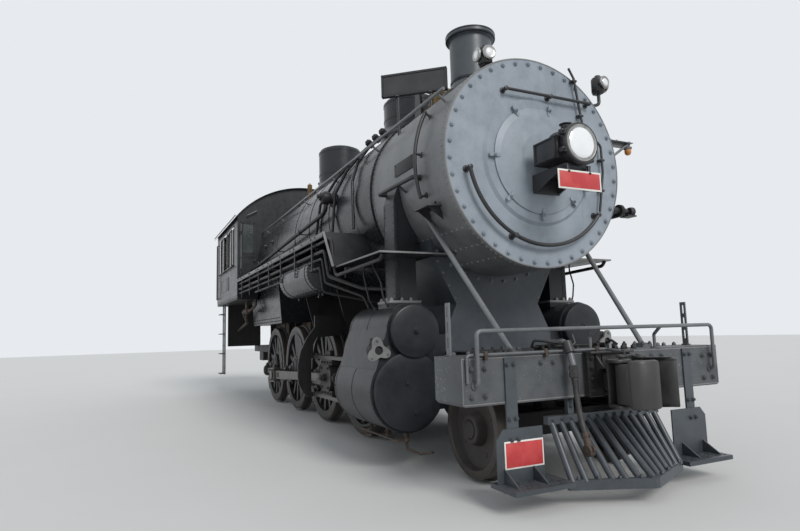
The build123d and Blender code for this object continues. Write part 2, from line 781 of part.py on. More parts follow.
def truck_frame_piece():
    y_in = frame_inner_y + 10
    y_out = frame_outer_y - 10
    low = lead_radius - 110
    high = lead_radius + 130
    frame = block((lead_axle_x - 300, lead_axle_x - 250), (-y_out, y_out), (low + 40, high))
    frame += block((lead_axle_x + 180, lead_axle_x + 230), (-y_out, y_out), (low + 40, high))
    for s in (-1, 1):
        side_y = sorted((s * y_in, s * y_out))
        frame += block((lead_axle_x - 260, lead_axle_x + 190), side_y, (low, high))
        arm = plate_xy(((lead_axle_x - 280, s * 300), (lead_axle_x - 280, s * 380),
                        (truck_pivot_x, s * 60), (truck_pivot_x, 0)),
                        (truck_eye_z[0] + 10, truck_eye_z[1] - 10))
        frame += arm
    frame += block((lead_axle_x - 300, lead_axle_x + 230), (-120, 120), (high - 40, high))
    frame += bar_z(lead_axle_x, 0, (high, 694), 110)
    frame += bar_z(truck_pivot_x, 0, truck_eye_z, 95)
    frame -= bar_z(truck_pivot_x, 0, (400, 600), truck_pin_radius + running_fit)
    frame -= bar_y(lead_axle_x, (-700, 700), lead_radius, lead_journal + running_fit)
    return frame


write("lead_axle", lead_axle_piece())
write("lead_truck_frame", truck_frame_piece())


# Pilot beam, front deck, coupler, pilot and steps
def pilot_beam_piece():
    beam = block((beam_back_x, beam_front_x), (-beam_half_width, beam_half_width), (beam_bottom, beam_top))
    beam = chamfer(beam.edges().filter_by(Axis.X).group_by(Axis.Z)[0], 25)
    return beam - block((beam_back_x - 1, beam_front_x + 1), (-90, 90), (coupler_z - 85, coupler_z + 85))


write("pilot_beam", pilot_beam_piece())
write("front_deck", block((cylinder_front_x - 60, beam_back_x), (-frame_outer_y - 60, frame_outer_y + 60),
                          (frame_top, frame_top + 12)))

knuckle_pin_x = 1010
knuckle_pin_y = -135
knuckle_pin_radius = 21
coupler_half_height = 185
knuckle_half_height = 150


def coupler_piece():
    shank = block((beam_back_x - 150, 880), (-80, 80), (coupler_z - 75, coupler_z + 75))
    striker = block((beam_front_x, beam_front_x + 60), (-235, 235), (735, beam_top - 12))
    striker -= block((beam_front_x - 1, beam_front_x + 61), (-90, 90), (coupler_z - 85, coupler_z + 85))
    low, high = coupler_z - coupler_half_height, coupler_z + coupler_half_height
    head = plate_xy(((860, -125), (920, -218), (1060, -236), (1078, -172), (1062, -69), (985, -46), (985, 60),
                     (1075, 140), (1195, 195), (1215, 240), (1060, 258), (920, 200), (860, 125)), (low, high))
    slot_half = knuckle_half_height + work_gap
    head -= block((945, 1100), (-290, -23), (coupler_z - slot_half, coupler_z + slot_half))
    head += bar_z(knuckle_pin_x, knuckle_pin_y, (low - 10, high + 15), knuckle_pin_radius)
    return [shank + head, striker]


def knuckle_piece():
    points = ((955, -125), (985, -188), (1040, -222), (1155, -216), (1235, -160), (1248, -45), (1228, 25),
              (1175, 30), (1158, -55), (1118, -102), (1040, -70), (970, -70))
    knuckle = plate_xy(points, (coupler_z - knuckle_half_height, coupler_z + knuckle_half_height))
    return knuckle - bar_z(knuckle_pin_x, knuckle_pin_y, (600, 1200), knuckle_pin_radius + running_fit)


write("coupler_head", *coupler_piece())
write("coupler_knuckle", knuckle_piece())


pilot_back_x = 620


def pilot_piece():
    top_z = 585
    nose_x = 1150
    foot = 90
    frame_top_bar = block((pilot_back_x, pilot_back_x + 55), (-600, 600), (top_z - 50, top_z + 12))
    foot_points = ((880, -600), (nose_x, -20), (nose_x, 20), (880, 600), (850, 600), (nose_x - 45, 15),
                   (nose_x - 45, -15), (850, -600))
    pilot = [frame_top_bar, plate_xy(foot_points, (foot, foot + 75))]
    for index in range(13):
        y = -570 + index * 95
        foot_x = nose_x - 30 - abs(y) * 0.42
        pilot.append(rod((pilot_back_x + 28, y * 0.97, top_z - 20), (foot_x, y, foot + 50), 26))
    for y in (-350, 350):
        pilot.append(block((pilot_back_x, pilot_back_x + 35), (y - 30, y + 30), (top_z, beam_bottom)))
    return joined(pilot)


write("pilot", pilot_piece())


def pilot_step_piece():
    hanger = block((beam_front_x, beam_front_x + 16), (910, 1010), (430, beam_top - 20))
    plate = plate_yz(((700, 165), (1120, 165), (1120, 480), (1060, 550), (700, 550)),
                     (beam_front_x + 16, beam_front_x + 28))
    step = block((beam_front_x - 60, beam_front_x + 250), (600, 1130), (130, 165))
    return hanger + plate + step


def cab_step_piece():
    x = (cab_back_x + 250, cab_back_x + 620)
    plate = block(x, (1380, 1392), (400, cab_sill_z - 50))
    for z in (420, 900, 1380, 1860):
        plate += block(x, (1380, cab_half_width), (z - 10, z + 10))
    return plate


write("steps", *pair(pilot_step_piece()), *pair(cab_step_piece()))


# Air pipe, hose and hose coupling at the front beam
hose_route = ((800, -420, 890), (810, -420, 760), (830, -421, 640), (858, -423, 540), (890, -425, 455))
hose_radius = 22


def hose_radii(points):
    """The largest arcs that the two runs beside each corner allow."""
    radii = []
    for before, corner, after in zip(points, points[1:], points[2:]):
        into = Vector(*corner) - Vector(*before)
        out = Vector(*after) - Vector(*corner)
        turn = into.get_angle(out)
        shorter = min(into.length, out.length)
        radii.append(0.45 * shorter / (sin(radians(turn) / 2) / cos(radians(turn) / 2)))
    return radii


def air_pipe_piece():
    foot_x = beam_back_x + 200
    exit_run = Vector(*hose_route[0]) - Vector(*hose_route[1])
    last = Vector(*hose_route[0]) + exit_run * 0.8
    route = ((foot_x, -420, beam_top), (foot_x, -420, beam_top + 75), (690, -420, beam_top + 85),
             (745, -420, beam_top + 60), tuple(last), hose_route[0])
    return pipe(route, 24, 50)


write("air_pipe", air_pipe_piece())
hose_radii_used = hose_radii(hose_route)
print("hose radii", [round(r) for r in hose_radii_used])
hose_path = FilletPolyline(*hose_route, radius=hose_radii_used)
write("air_hose", sweep(Plane(origin=hose_path @ 0, z_dir=hose_path % 0) * Circle(hose_radius),
    path=hose_path))
hose_end = Vector(*hose_route[-1])
hose_dir = (hose_end - Vector(*hose_route[-2])).normalized()
coupling_end = hose_end + hose_dir * 110
write("hose_coupling", rod(tuple(hose_end), tuple(coupling_end), 30)
      + Pos(*tuple(coupling_end)) * Box(110, 60, 80))


brace_foot = (430, 740, beam_top + 25)
brace_angle = 27.3
brace_top = (-620, (smokebox_radius - 8) * cos(radians(brace_angle)),
             boiler_z - (smokebox_radius - 8) * sin(radians(brace_angle)))
brace_radius = 24

# Running boards with the low deck over the cylinder and the apron between them
bracket_bottom = 2385
deck_front_x = -570


def running_board_piece():
    y = (940, board_outer_y)
    upper = block((cab_front_x, board_front_x), y, (board_z - board_sheet, board_z))
    edge = block((cab_front_x, board_front_x), (board_outer_y - board_sheet, board_outer_y),
                 (board_z - 60, board_z))
    apron = plate_xz(((board_front_x, board_z - board_sheet), (board_front_x, board_z),
        (board_front_x + 12, board_z),
                      (-1808, deck_z), (-1820, deck_z - board_sheet)), (960, board_outer_y))
    deck = block((-1820, deck_front_x), (620, 1450), (deck_z - board_sheet, deck_z))
    deck -= block((casing_x - casing_half, casing_x + casing_half), (casing_inner_y, casing_outer_y),
                  (deck_z - 50, deck_z + 50))
    whole = upper + edge + apron + deck
    for place in range(5):
        x = board_front_x - 500 - place * 1240
        whole += block((x - 8, x + 8), (900, 1400), (bracket_bottom, board_z - board_sheet))
    whole -= boiler_outside
    whole -= smokebox_outside
    whole -= firebox_shell()
    for place in band_places:
        x = smokebox_back_x - place
        whole -= bar_x((x, x + band_width), 0, boiler_z, boiler_radius + band_height)
    return whole - saddle_piece() - rod(brace_foot, brace_top, brace_radius + work_gap)


write("running_boards", *pair(running_board_piece()))


def reservoir_piece(front_x, back_x):
    y, z, r = 1215, 2105, 262
    profile = ((back_x, 0), (back_x + 12, 130), (back_x + 50, 215), (back_x + 110, r), (front_x - 110, r),
               (front_x - 50, 215), (front_x - 12, 130), (front_x, 0))
    whole = turned_x(profile, y, z)
    for x in (back_x + 260, front_x - 260):
        whole += block((x - 30, x + 30), (y - 90, y + 90), (z + r - 40, board_z - board_sheet))
    return whole


write("air_reservoirs", on_side(reservoir_piece(-2800, -4500), "right"), reservoir_piece(-4250, -6350))


def compressor_piece():
    x, y = -3950, 1290
    profile = (
        (0, 1480), (165, 1480), (165, 1900), (95, 1900), (95, 2010), (150, 2010), (150, 2370), (0, 2370),
    )
    body = turned_z(profile, x, y)
    body += block((x - 120, x + 120), (700, y - 60), (2060, 2220))
    return body - boiler_outside


write("air_compressor", compressor_piece())


# Cab
def cab_front_piece():
    x = (cab_front_x - cab_sheet, cab_front_x)
    half = cab_half_width - cab_sheet
    wall = roofed_outline(half, x)
    wall -= boiler_outside
    wall -= block((x[0] - 1, x[1] + 1), (-firebox_half_width - 110, firebox_half_width + 110),
        (2000, boiler_z))
    outer = cab_half_width - cab_doorway_edge
    for s in (-1, 1):
        doorway = sorted((s * (outer - cab_door_width + 6), s * outer))
        wall -= block((x[0] - 1, x[1] + 1), doorway, (2520, 3760))
    wall += cab_door_hinge_piece()
    return wall + cab_door_hinge_piece().mirror(Plane.XZ)


def roofed_outline(half, x):
    """A wall across the cab whose top follows the roof."""
    z_eave = eave_z
    side_points = [Vector(x[0], -half, z_eave), Vector(x[0], 0, z_eave + roof_rise),
        Vector(x[0], half, z_eave)]
    arc = ThreePointArc(*side_points)
    lines = Polyline((x[0], half, z_eave), (x[0], half, cab_sill_z), (x[0], -half, cab_sill_z),
                     (x[0], -half, z_eave))
    return extrude(make_face([arc, lines]), amount=x[1] - x[0], dir=(1, 0, 0))


# Cab windows: front x, back x, low z, high z
cab_windows = ((-8500, -9410, 2850, 3720), (-9490, -10600, 2850, 3720))


def cab_side_piece():
    wall = block((cab_back_x, cab_front_x), (cab_half_width - cab_sheet, cab_half_width),
        (cab_sill_z, eave_z))
    for front, back, low, high in cab_windows:
        wall -= block((back, front), (cab_half_width - 20, cab_half_width + 20), (low, high))
    return wall


def cab_roof_piece():
    x = (cab_back_x - 150, cab_front_x + 80)
    half = cab_half_width + 60
    sheet = 8
    radius = (cab_half_width ** 2 + roof_rise ** 2) / (2 * roof_rise)
    centre_z = eave_z + roof_rise - radius
    roof = bar_x(x, 0, centre_z, radius + sheet) - bar_x((x[0] - 1, x[1] + 1), 0, centre_z, radius)
    roof &= block(x, (-half, half), (eave_z - 200, eave_z + roof_rise + 100))
    roof -= block((hatch_x - 350, hatch_x + 350), (-330, 330), (eave_z, eave_z + 1000))
    rail_x = (hatch_x - hatch_travel - 400, hatch_x + 400)
    rails = bar_x(rail_x, 0, centre_z, radius + 50) - bar_x((rail_x[0] - 1, rail_x[1] + 1), 0, centre_z,
        radius + 4)
    groove = bar_x((rail_x[0] - 1, rail_x[1] + 1), 0, centre_z, radius + 36)
    for s in (-1, 1):
        place = block(rail_x, sorted((s * 345, s * 400)), (eave_z, eave_z + 1000))
        rail = (rails & place) - (groove & block((rail_x[0] - 1, rail_x[1] + 1), sorted((s * 340, s * 366)),
                                                 (eave_z, eave_z + 1000)))
        roof += rail
    return roof


hatch_x = -9500
hatch_travel = 600


def hatch_piece():
    radius = (cab_half_width ** 2 + roof_rise ** 2) / (2 * roof_rise)
    centre_z = eave_z + roof_rise - radius
    x = (hatch_x - 380, hatch_x + 380)
    lid = bar_x(x, 0, centre_z, radius + 30) - bar_x((x[0] - 1, x[1] + 1), 0, centre_z, radius + 14)
    return lid & block(x, (-360, 360), (eave_z, eave_z + 1000))


write("cab_sides", *pair(cab_side_piece()))
write("cab_roof", cab_roof_piece())
write("roof_hatch", hatch_piece())

floor_z = cab_sill_z
write("cab_floor", block((cab_back_x, firebox_back_x - 20),
    (-cab_half_width + cab_sheet, cab_half_width - cab_sheet),
                         (floor_z - 50, floor_z)),
      block((firebox_back_x - 20, cab_front_x), (firebox_half_width + 110, cab_half_width - cab_sheet),
            (floor_z - 50, floor_z)),
      block((firebox_back_x - 20, cab_front_x), (-cab_half_width + cab_sheet, -firebox_half_width - 110),
            (floor_z - 50, floor_z)))

# Front cab doors on upright hinges at their outer edges
cab_door_pin = 10
cab_door_hinge_x = cab_front_x + 26
cab_door_hinge_y = cab_half_width - 60
cab_door_hinges_z = (2700, 3500)


def cab_door_piece():
    x = (cab_front_x + work_gap, cab_front_x + work_gap + 20)
    outer = cab_half_width - cab_doorway_edge - 1
    door = block(x, (outer - cab_door_width, outer), (2515, 3765))
    door -= block((x[0] - 1, x[1] + 1), (outer - cab_door_width + 47, outer - 39), (3070, 3700))
    for z in cab_door_hinges_z:
        door += block(x, (outer - 4, cab_door_hinge_y), (z - 40, z + 40))
        door += bar_z(cab_door_hinge_x, cab_door_hinge_y, (z - 40, z + 40), 18)
        door -= bar_z(cab_door_hinge_x, cab_door_hinge_y, (z - 41, z + 41), cab_door_pin + running_fit)
    return door


def cab_door_hinge_piece():
    hinge = None
    for z in cab_door_hinges_z:
        pin = bar_z(cab_door_hinge_x, cab_door_hinge_y, (z - 62, z + 40), cab_door_pin)
        pin += block((cab_front_x, cab_door_hinge_x), (cab_door_hinge_y - 10, cab_door_hinge_y + 10),
                     (z - 62, z - 46))
        hinge = pin if hinge is None else hinge + pin
    return hinge


for side in ("right", "left"):
    write(f"{side}_cab_door", on_side(cab_door_piece(), side))

write("cab_front", cab_front_piece())

# Fire door on the backhead
fire_door_z = 2560
fire_door_pin_y = 330


def fire_door_piece():
    x = (firebox_back_x - 60, firebox_back_x - 30)
    door = block(x, (-230, 230), (fire_door_z - 190, fire_door_z + 190))
    door += block(x, (230, fire_door_pin_y), (fire_door_z - 40, fire_door_z + 40))
    door += bar_z(firebox_back_x - 45, fire_door_pin_y, (fire_door_z - 40, fire_door_z + 40), 32)
    return door - bar_z(firebox_back_x - 45, fire_door_pin_y, (fire_door_z - 41, fire_door_z + 41),
                        14 + running_fit)


def backhead_fittings():
    hinge = bar_z(firebox_back_x - 45, fire_door_pin_y, (fire_door_z - 75, fire_door_z + 75), 14)
    for z in (fire_door_z - 65, fire_door_z + 65):
        hinge += block((firebox_back_x - 60, firebox_back_x), (fire_door_pin_y - 22, fire_door_pin_y + 22),
                       (z - 15, z + 15))
    ring = bar_x((firebox_back_x - 25, firebox_back_x), 0, fire_door_z, 245)
    return [hinge, ring]


write("fire_door", fire_door_piece())
write("backhead_fittings", *backhead_fittings())

# Tail beam with the drawbar pocket
drawbar_pin_radius = 45


def tail_beam_piece():
    beam = block((frame_back_x, frame_back_x + 420), (-frame_inner_y, frame_inner_y), (700, 1080))
    beam -= block((frame_back_x - 1, frame_back_x + 300), (-110, 110), (820, 900))
    beam -= bar_z(frame_back_x + 200, 0, (690, 1090), drawbar_pin_radius)
    return beam


# The uprights that carry the cab floor
cab_supports = [block((frame_back_x + 125, frame_back_x + 175), sorted((s * 500, s * 1300)),
    (frame_top, floor_z - 50))
                for s in (-1, 1)]
write("tail_beam", tail_beam_piece(), *cab_supports)


# Number boards, class lights and handrails
def number_board_piece():
    inner = (-980, 400)
    outer = (-1475, 985)
    dx, dy = outer[0] - inner[0], outer[1] - inner[1]
    length = sqrt(dx * dx + dy * dy)
    nx, ny = dy / length * 15, -dx / length * 15
    board = plate_xy((inner, outer, (outer[0] - nx * 2, outer[1] - ny * 2),
        (inner[0] - nx * 2, inner[1] - ny * 2)),
                     (3975, 4240))
    for share in (0.25, 0.75):
        x = inner[0] + dx * share - nx
        y = inner[1] + dy * share - ny
        board += bar_z(x, y, (boiler_z + smokebox_radius / 3, 3975), 18) - smokebox_outside
    return board


write("number_boards", *pair(number_board_piece()))


def handrail_piece():
    slope = radians(34)
    z = boiler_z + (boiler_radius + 90) * sin(slope)
    y = (boiler_radius + 90) * cos(slope)
    rail = rod((cab_front_x, y, z), (-120, y, z), 17)
    for x in (-250, -1880, -3400, -4900, -6500, -7800):
        reach = (smokebox_radius if x > smokebox_back_x else boiler_radius) - 30
        rail += rod((x, y, z), (x, reach * cos(slope), boiler_z + reach * sin(slope)), 14)
    return rail - boiler_outside - smokebox_outside


write("boiler_handrails", *pair(handrail_piece()))


def brace_piece():
    brace = rod(brace_foot, brace_top, brace_radius) - smokebox_outside
    pad = block((370, 490), (680, 800), (beam_top, beam_top + 25))
    return brace + pad


# Rails, flag brackets and the uncoupling lever on the pilot beam
def beam_handrail():
    x, y, low, high = beam_front_x + 52, 1270, 880, 1275
    route = ((beam_front_x, -y, low), (x, -y, low), (x, -y, high), (x, y, high), (x, y, low),
        (beam_front_x, y, low))
    rail = pipe(route, 16, 42)
    for post_y in (-120, 620):
        foot_x = beam_front_x - 25
        rail += pipe(((foot_x, post_y, beam_top), (foot_x, post_y, high - 70), (x, post_y, high)), 14, 25)
    return rail


def flag_bracket():
    bracket = block((400, 460), (1314, 1326), (beam_top, 1500))
    for z in (1150, 1270, 1390):
        bracket -= block((420, 440), (1300, 1340), (z, z + 80))
    return bracket


def uncoupling_lever():
    x, z = beam_front_x + 18, beam_top + 14
    route = ((x, -1340, 900), (x, -1340, z), (x, 0, z), (beam_front_x + 210, 0, z - 20))
    return pipe(route, 11, 30)


write("front_braces", *pair(brace_piece()), beam_handrail(), *pair(flag_bracket()), uncoupling_lever())

for name, shape in written.items():
    box = shape.bounding_box()
    print(name, len(shape.solids()), "solids, x", round(box.min.X), round(box.max.X),
          "z", round(box.min.Z), round(box.max.Z))
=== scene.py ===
from itertools import product
from math import atan2, cos, exp, pi, radians, sin, sqrt, tan

import bmesh
import bpy
from mathutils import Matrix, Vector


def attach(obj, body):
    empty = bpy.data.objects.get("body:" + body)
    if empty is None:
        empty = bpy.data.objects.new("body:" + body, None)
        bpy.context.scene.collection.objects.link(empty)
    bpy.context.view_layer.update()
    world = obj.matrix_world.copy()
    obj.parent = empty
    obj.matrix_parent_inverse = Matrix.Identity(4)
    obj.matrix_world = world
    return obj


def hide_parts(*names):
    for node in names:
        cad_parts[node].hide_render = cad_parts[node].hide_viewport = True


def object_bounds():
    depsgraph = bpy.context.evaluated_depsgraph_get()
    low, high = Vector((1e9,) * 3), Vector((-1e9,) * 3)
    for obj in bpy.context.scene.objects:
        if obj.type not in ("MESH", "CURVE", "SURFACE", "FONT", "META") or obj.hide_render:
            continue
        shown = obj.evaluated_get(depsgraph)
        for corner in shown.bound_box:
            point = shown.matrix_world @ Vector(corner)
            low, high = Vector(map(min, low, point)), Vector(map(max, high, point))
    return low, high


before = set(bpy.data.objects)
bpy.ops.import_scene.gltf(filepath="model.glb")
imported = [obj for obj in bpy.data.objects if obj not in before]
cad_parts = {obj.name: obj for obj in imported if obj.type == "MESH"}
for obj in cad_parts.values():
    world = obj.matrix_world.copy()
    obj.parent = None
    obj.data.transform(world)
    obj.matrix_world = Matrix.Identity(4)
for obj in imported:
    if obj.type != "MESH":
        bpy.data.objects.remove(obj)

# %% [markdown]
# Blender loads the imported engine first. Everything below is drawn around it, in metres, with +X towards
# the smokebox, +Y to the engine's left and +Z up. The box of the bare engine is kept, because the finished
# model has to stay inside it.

cad_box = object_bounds()
scene = bpy.context.scene
print("CAD box", [[round(v, 3) for v in corner] for corner in cad_box])

# %% [markdown]
# It is easier to place a fitting from the face of the smokebox and from the top of the rails than from the
# middle of the engine. This cell holds the move from those places to the engine's own origin, and the few
# sizes that nearly every fitting needs.

# %% Layout sizes
layout_shift = Vector((4.951, 0.0, 0.0286))
boiler_z = 2.894
boiler_line = (0, 0, boiler_z)
smokebox_radius = 1.042
boiler_radius = 1.062
smokebox_back = -1.7
firebox_back = -9.0
cab_front = -8.05
driver_places = [-2.742 - 1.5917 * i for i in range(4)]
driver_radius = 0.724
crank_radius = 0.381
crank_angles = {"right": 200.0, "left": 290.0}
cylinder_y, cylinder_z = 1.1175, 0.724
valve_y, valve_z = 1.0525, 1.294
print("driving axles at", [round(x, 3) for x in driver_places])

# %% [markdown]
# A camera is placed by its position, the direction that it looks in, how far it is rolled, and its lens.
# These values look at the engine from the height of an eye, a few steps ahead of the beam and to the
# engine's right.

# %% Camera
camera_place = Vector((4.3297, -3.5719, 1.2753)) + layout_shift
camera_yaw = radians(154.577)
camera_pitch = radians(6.726)
camera_roll = radians(-1.628)
lens_mm = 25.86

ahead = Vector((cos(camera_yaw) * cos(camera_pitch), sin(camera_yaw) * cos(camera_pitch),
                sin(camera_pitch)))
level_right = Vector((sin(camera_yaw), -cos(camera_yaw), 0.0))
level_up = level_right.cross(ahead)
right = cos(camera_roll) * level_right + sin(camera_roll) * level_up
up = cos(camera_roll) * level_up - sin(camera_roll) * level_right

camera_data = bpy.data.cameras.new("camera")
camera_data.lens = lens_mm
camera_data.sensor_width = 36.0
camera_data.clip_start = 0.05
camera = bpy.data.objects.new("camera", camera_data)
scene.collection.objects.link(camera)
camera.matrix_world = Matrix.Translation(camera_place) @ Matrix((right, up, -ahead)).transposed().to_4x4()
scene.camera = camera
print("camera at", [round(v, 2) for v in camera.location])

# %% [markdown]
# A material in Blender is a small network of nodes. Written out one by one, the nodes hide the idea, so this
# class wraps the output of a node, and a sum such as 1 - rust adds the Math node by itself.

# %% Sums on sockets
class Wire:
    """The output of a node, which can take part in sums."""

    def __init__(self, finish, socket):
        self.finish = finish
        self.socket = socket

    def sum(self, operation, first, second):
        return self.finish.add("Math", {"operation": operation}, {0: first, 1: second})

    def __add__(self, other):
        return self.sum("ADD", self, other)

    def __radd__(self, other):
        return self.sum("ADD", other, self)

    def __sub__(self, other):
        return self.sum("SUBTRACT", self, other)

    def __rsub__(self, other):
        return self.sum("SUBTRACT", other, self)

    def __mul__(self, other):
        return self.sum("MULTIPLY", self, other)

    def __rmul__(self, other):
        return self.sum("MULTIPLY", other, self)

    def __truediv__(self, other):
        return self.sum("DIVIDE", self, other)

    def __rtruediv__(self, other):
        return self.sum("DIVIDE", other, self)


print("sums ready")

# %% [markdown]
# A finish is one material. The parts of its look that are the same everywhere are set on the shader at once.
# What varies, such as stains and dust, is built from noise in object coordinates, so it is true to scale:
# a noise of scale 8 has patches about an eighth of a metre wide.

# %% Finishes
class Nodes:
    """A tree of nodes, for a material or for the sky."""

    def __init__(self, tree):
        self.tree = tree

    def feed(self, socket, value):
        if isinstance(value, Wire):
            self.tree.links.new(value.socket, socket)
        else:
            socket.default_value = value

    def add(self, kind, settings=None, sockets=None, output=0):
        node = self.tree.nodes.new("ShaderNode" + kind)
        for key, value in (settings or {}).items():
            setattr(node, key, value)
        for key, value in (sockets or {}).items():
            self.feed(node.inputs[key], value)
        return None if output is None else Wire(self, node.outputs[output])


class Finish(Nodes):
    """One material, its shader and the nodes that vary it. Its slot is the record's name for it."""

    def __init__(self, name, slot, **fixed):
        self.material = bpy.data.materials.new(name)
        self.material.use_nodes = True
        super().__init__(self.material.node_tree)
        self.slot = slot
        self.shader = self.tree.nodes["Principled BSDF"]
        self.shade(**fixed)

    def noise(self, scale, detail=4.0, stretch=(1.0, 1.0, 1.0), offset=0.0):
        place = self.add("TexCoord", output="Object")
        place = self.add("VectorMath", {"operation": "MULTIPLY"}, {0: place, 1: stretch})
        place = self.add("VectorMath", {"operation": "ADD"}, {0: place, 1: (offset, offset, offset)})
        return self.add("TexNoise", None, {"Vector": place, "Scale": scale, "Detail": detail,
            "Roughness": 0.6})

    def fade(self, value, low, high):
        """0 below low, 1 above high, smooth between."""
        return self.add("MapRange", {"interpolation_type": "SMOOTHSTEP"},
                        {"Value": value, "From Min": low, "From Max": high})

    def mix(self, share, first, second):
        pair = [(*c, 1.0) if isinstance(c, tuple) and len(c) == 3 else c for c in (first, second)]
        return self.add("Mix", {"data_type": "RGBA"}, {0: share, 6: pair[0], 7: pair[1]}, output=2)

    def upward(self):
        """1 where a surface looks up, 0 where it looks sideways or down."""
        facing = self.add("SeparateXYZ", None, {0: self.add("TexCoord", output="Normal")}, output=2)
        return self.fade(facing, 0.35, 0.95)

    def shade(self, **varying):
        for socket, value in varying.items():
            self.feed(self.shader.inputs[socket.replace("_", " ")], value)

    def relief(self, height, millimetres):
        bump = self.add("Bump", None, {"Height": height, "Distance": millimetres / 1000.0, "Strength": 1.0})
        self.feed(self.shader.inputs["Normal"], bump)


print("finishes ready")

# %% [markdown]
# Paint on an old engine is never one colour. Broad clouds come from many coats and from the weather,
# streaks run down from the seams, dust lies on whatever looks up, and rust comes through in specks. One
# recipe with different amounts of each gives most of the engine's paints, and keeps them related.

# %% Weathered paint
dust_colour = (0.145, 0.135, 0.12)
rust_colour = (0.16, 0.065, 0.03)


def weathered(name, slot, colour, light, dust, streaks, rust, gloss, grain=0.5, metal=0.0, shine=0.5,
              chips=0.0):
    finish = Finish(name, slot, Metallic=metal, Specular_IOR_Level=shine)
    dark = tuple(c * 0.84 for c in colour)
    cloud = finish.noise(1.3, 5.0)
    mottle = finish.noise(9.0, 6.0, offset=3.0)
    grit = finish.noise(140.0, 2.0, offset=7.0)
    tone = finish.mix(finish.fade(cloud * 0.6 + mottle * 0.4, 0.32, 0.68), dark, light)
    tone = finish.mix(finish.fade(mottle, 0.3, 0.7) * 0.35, tone, (*colour, 1.0))
    runs = finish.fade(finish.noise(5.0, 4.0, stretch=(1.6, 1.6, 0.12), offset=11.0), 0.54, 0.72) * streaks
    tone = finish.mix(runs, tone, tuple(c * 0.5 + 0.02 for c in light))
    lying = finish.upward() * finish.fade(cloud * 0.5 + mottle * 0.5, 0.2, 0.8) * dust
    tone = finish.mix(lying, tone, dust_colour)
    specks = finish.fade(finish.noise(28.0, 8.0, offset=19.0) + mottle * 0.25, 0.76, 0.86) * rust
    tone = finish.mix(specks, tone, rust_colour)
    bare = finish.fade(finish.noise(60.0, 9.0, offset=31.0) + cloud * 0.35, 0.8, 0.86) * chips
    tone = finish.mix(bare, tone, tuple(c * 1.6 + 0.12 for c in light))
    roughness = gloss + (mottle - 0.5) * 0.25 + lying * 0.3 + specks * 0.3
    finish.shade(Base_Color=tone, Roughness=roughness)
    finish.relief(grit * 0.35 + mottle * 0.65 - specks * 0.4, grain)
    return finish


front_paint = weathered("smokebox_front_paint", "smokebox_grey", (0.245, 0.283, 0.328), (0.31, 0.35, 0.395),
    0.25, 0.3, 0.15, 0.42)
side_paint = weathered("smokebox_side_paint", "smokebox_grey", (0.15, 0.155, 0.16), (0.24, 0.246, 0.252), 0.3,
    0.5, 0.3, 0.42, metal=0.3)
jacket_paint = weathered("boiler_jacket_paint", "boiler_black", (0.014, 0.016, 0.019), (0.026, 0.029, 0.033),
    0.2, 0.4, 0.12, 0.26, shine=0.35)
frame_paint = weathered("frame_paint", "frame_black", (0.013, 0.013, 0.014), (0.027, 0.026, 0.026), 0.28, 0.3,
    0.35, 0.5, shine=0.35)
cab_paint = weathered("cab_paint", "cab_black", (0.014, 0.015, 0.018), (0.025, 0.027, 0.031), 0.2, 0.4, 0.12,
    0.32, shine=0.35)
cylinder_paint = weathered("cylinder_paint", "cylinder_grey", (0.017, 0.02, 0.023), (0.03, 0.033, 0.038),
    0.14, 0.25, 0.1, 0.34, shine=0.3)
# The beam's grey paint is darkened with painted shade; its chips, specks and dust are real wear.
beam_paint_with_painted_shade = weathered("beam_paint_with_painted_shade", "beam_grey", (0.06, 0.065, 0.071), (0.116, 0.124, 0.132), 0.28, 0.5, 0.3,
    0.5, 0.9, chips=0.8)
pilot_paint = weathered("pilot_paint", "pilot_blue_grey", (0.044, 0.053, 0.063), (0.078, 0.09, 0.104), 0.35,
    0.25, 0.35, 0.38)
rail_paint = weathered("handrail_paint", "trim_grey", (0.105, 0.112, 0.12), (0.2, 0.208, 0.216), 0.2, 0.2,
    0.25, 0.36, 0.2)
black_paint = weathered("lamp_black_paint", "headlight_black", (0.016, 0.016, 0.018), (0.035, 0.035, 0.038),
    0.3, 0.2, 0.1, 0.4, 0.2)
coupler_iron = weathered("coupler_iron", "coupler_iron", (0.022, 0.0225, 0.022), (0.047, 0.046, 0.044), 0.18,
    0.3, 0.4, 0.46, 1.6)
rusty_iron = weathered("rusty_iron", "rusty_iron", (0.05, 0.036, 0.029), (0.095, 0.066, 0.049), 0.3, 0.4, 0.8,
    0.68, 1.2)
wheel_iron = weathered("wheel_iron", "running_gear", (0.018, 0.018, 0.018), (0.036, 0.034, 0.032), 0.22, 0.35,
    0.4, 0.5, 0.8)
brown_wheel = weathered("leading_wheel_brown", "running_gear", (0.025, 0.022, 0.021), (0.048, 0.04, 0.035),
    0.2, 0.35, 0.6, 0.52, 0.9)
rod_steel = weathered("rod_steel", "rods", (0.062, 0.06, 0.056), (0.125, 0.118, 0.108), 0.15, 0.2, 0.4, 0.36,
    0.4, 0.5)
worn_edge = weathered("worn_edge_paint", "smokebox_grey", (0.15, 0.152, 0.153), (0.27, 0.272, 0.272), 0.3,
    0.2, 0.25, 0.45, 0.3)
print(len(bpy.data.materials), "materials so far")

# %% [markdown]
# A few surfaces are not paint: glass, brass, the rubber of the air hose, the red enamel of the blank plates
# and the leather of the crew's seats. Each gets its own short recipe.

# %% Glass, brass, rubber, enamel and leather
def simple(name, slot, colour, second, scale, gloss, spread, relief=0.1, **fixed):
    finish = Finish(name, slot, **fixed)
    patches = finish.noise(scale, 5.0)
    fine = finish.noise(scale * 11.0, 3.0, offset=5.0)
    finish.shade(Base_Color=finish.mix(finish.fade(patches, 0.35, 0.7), colour, second),
                 Roughness=gloss + (patches - 0.5) * spread + (fine - 0.5) * spread * 0.5)
    finish.relief(fine, relief)
    return finish


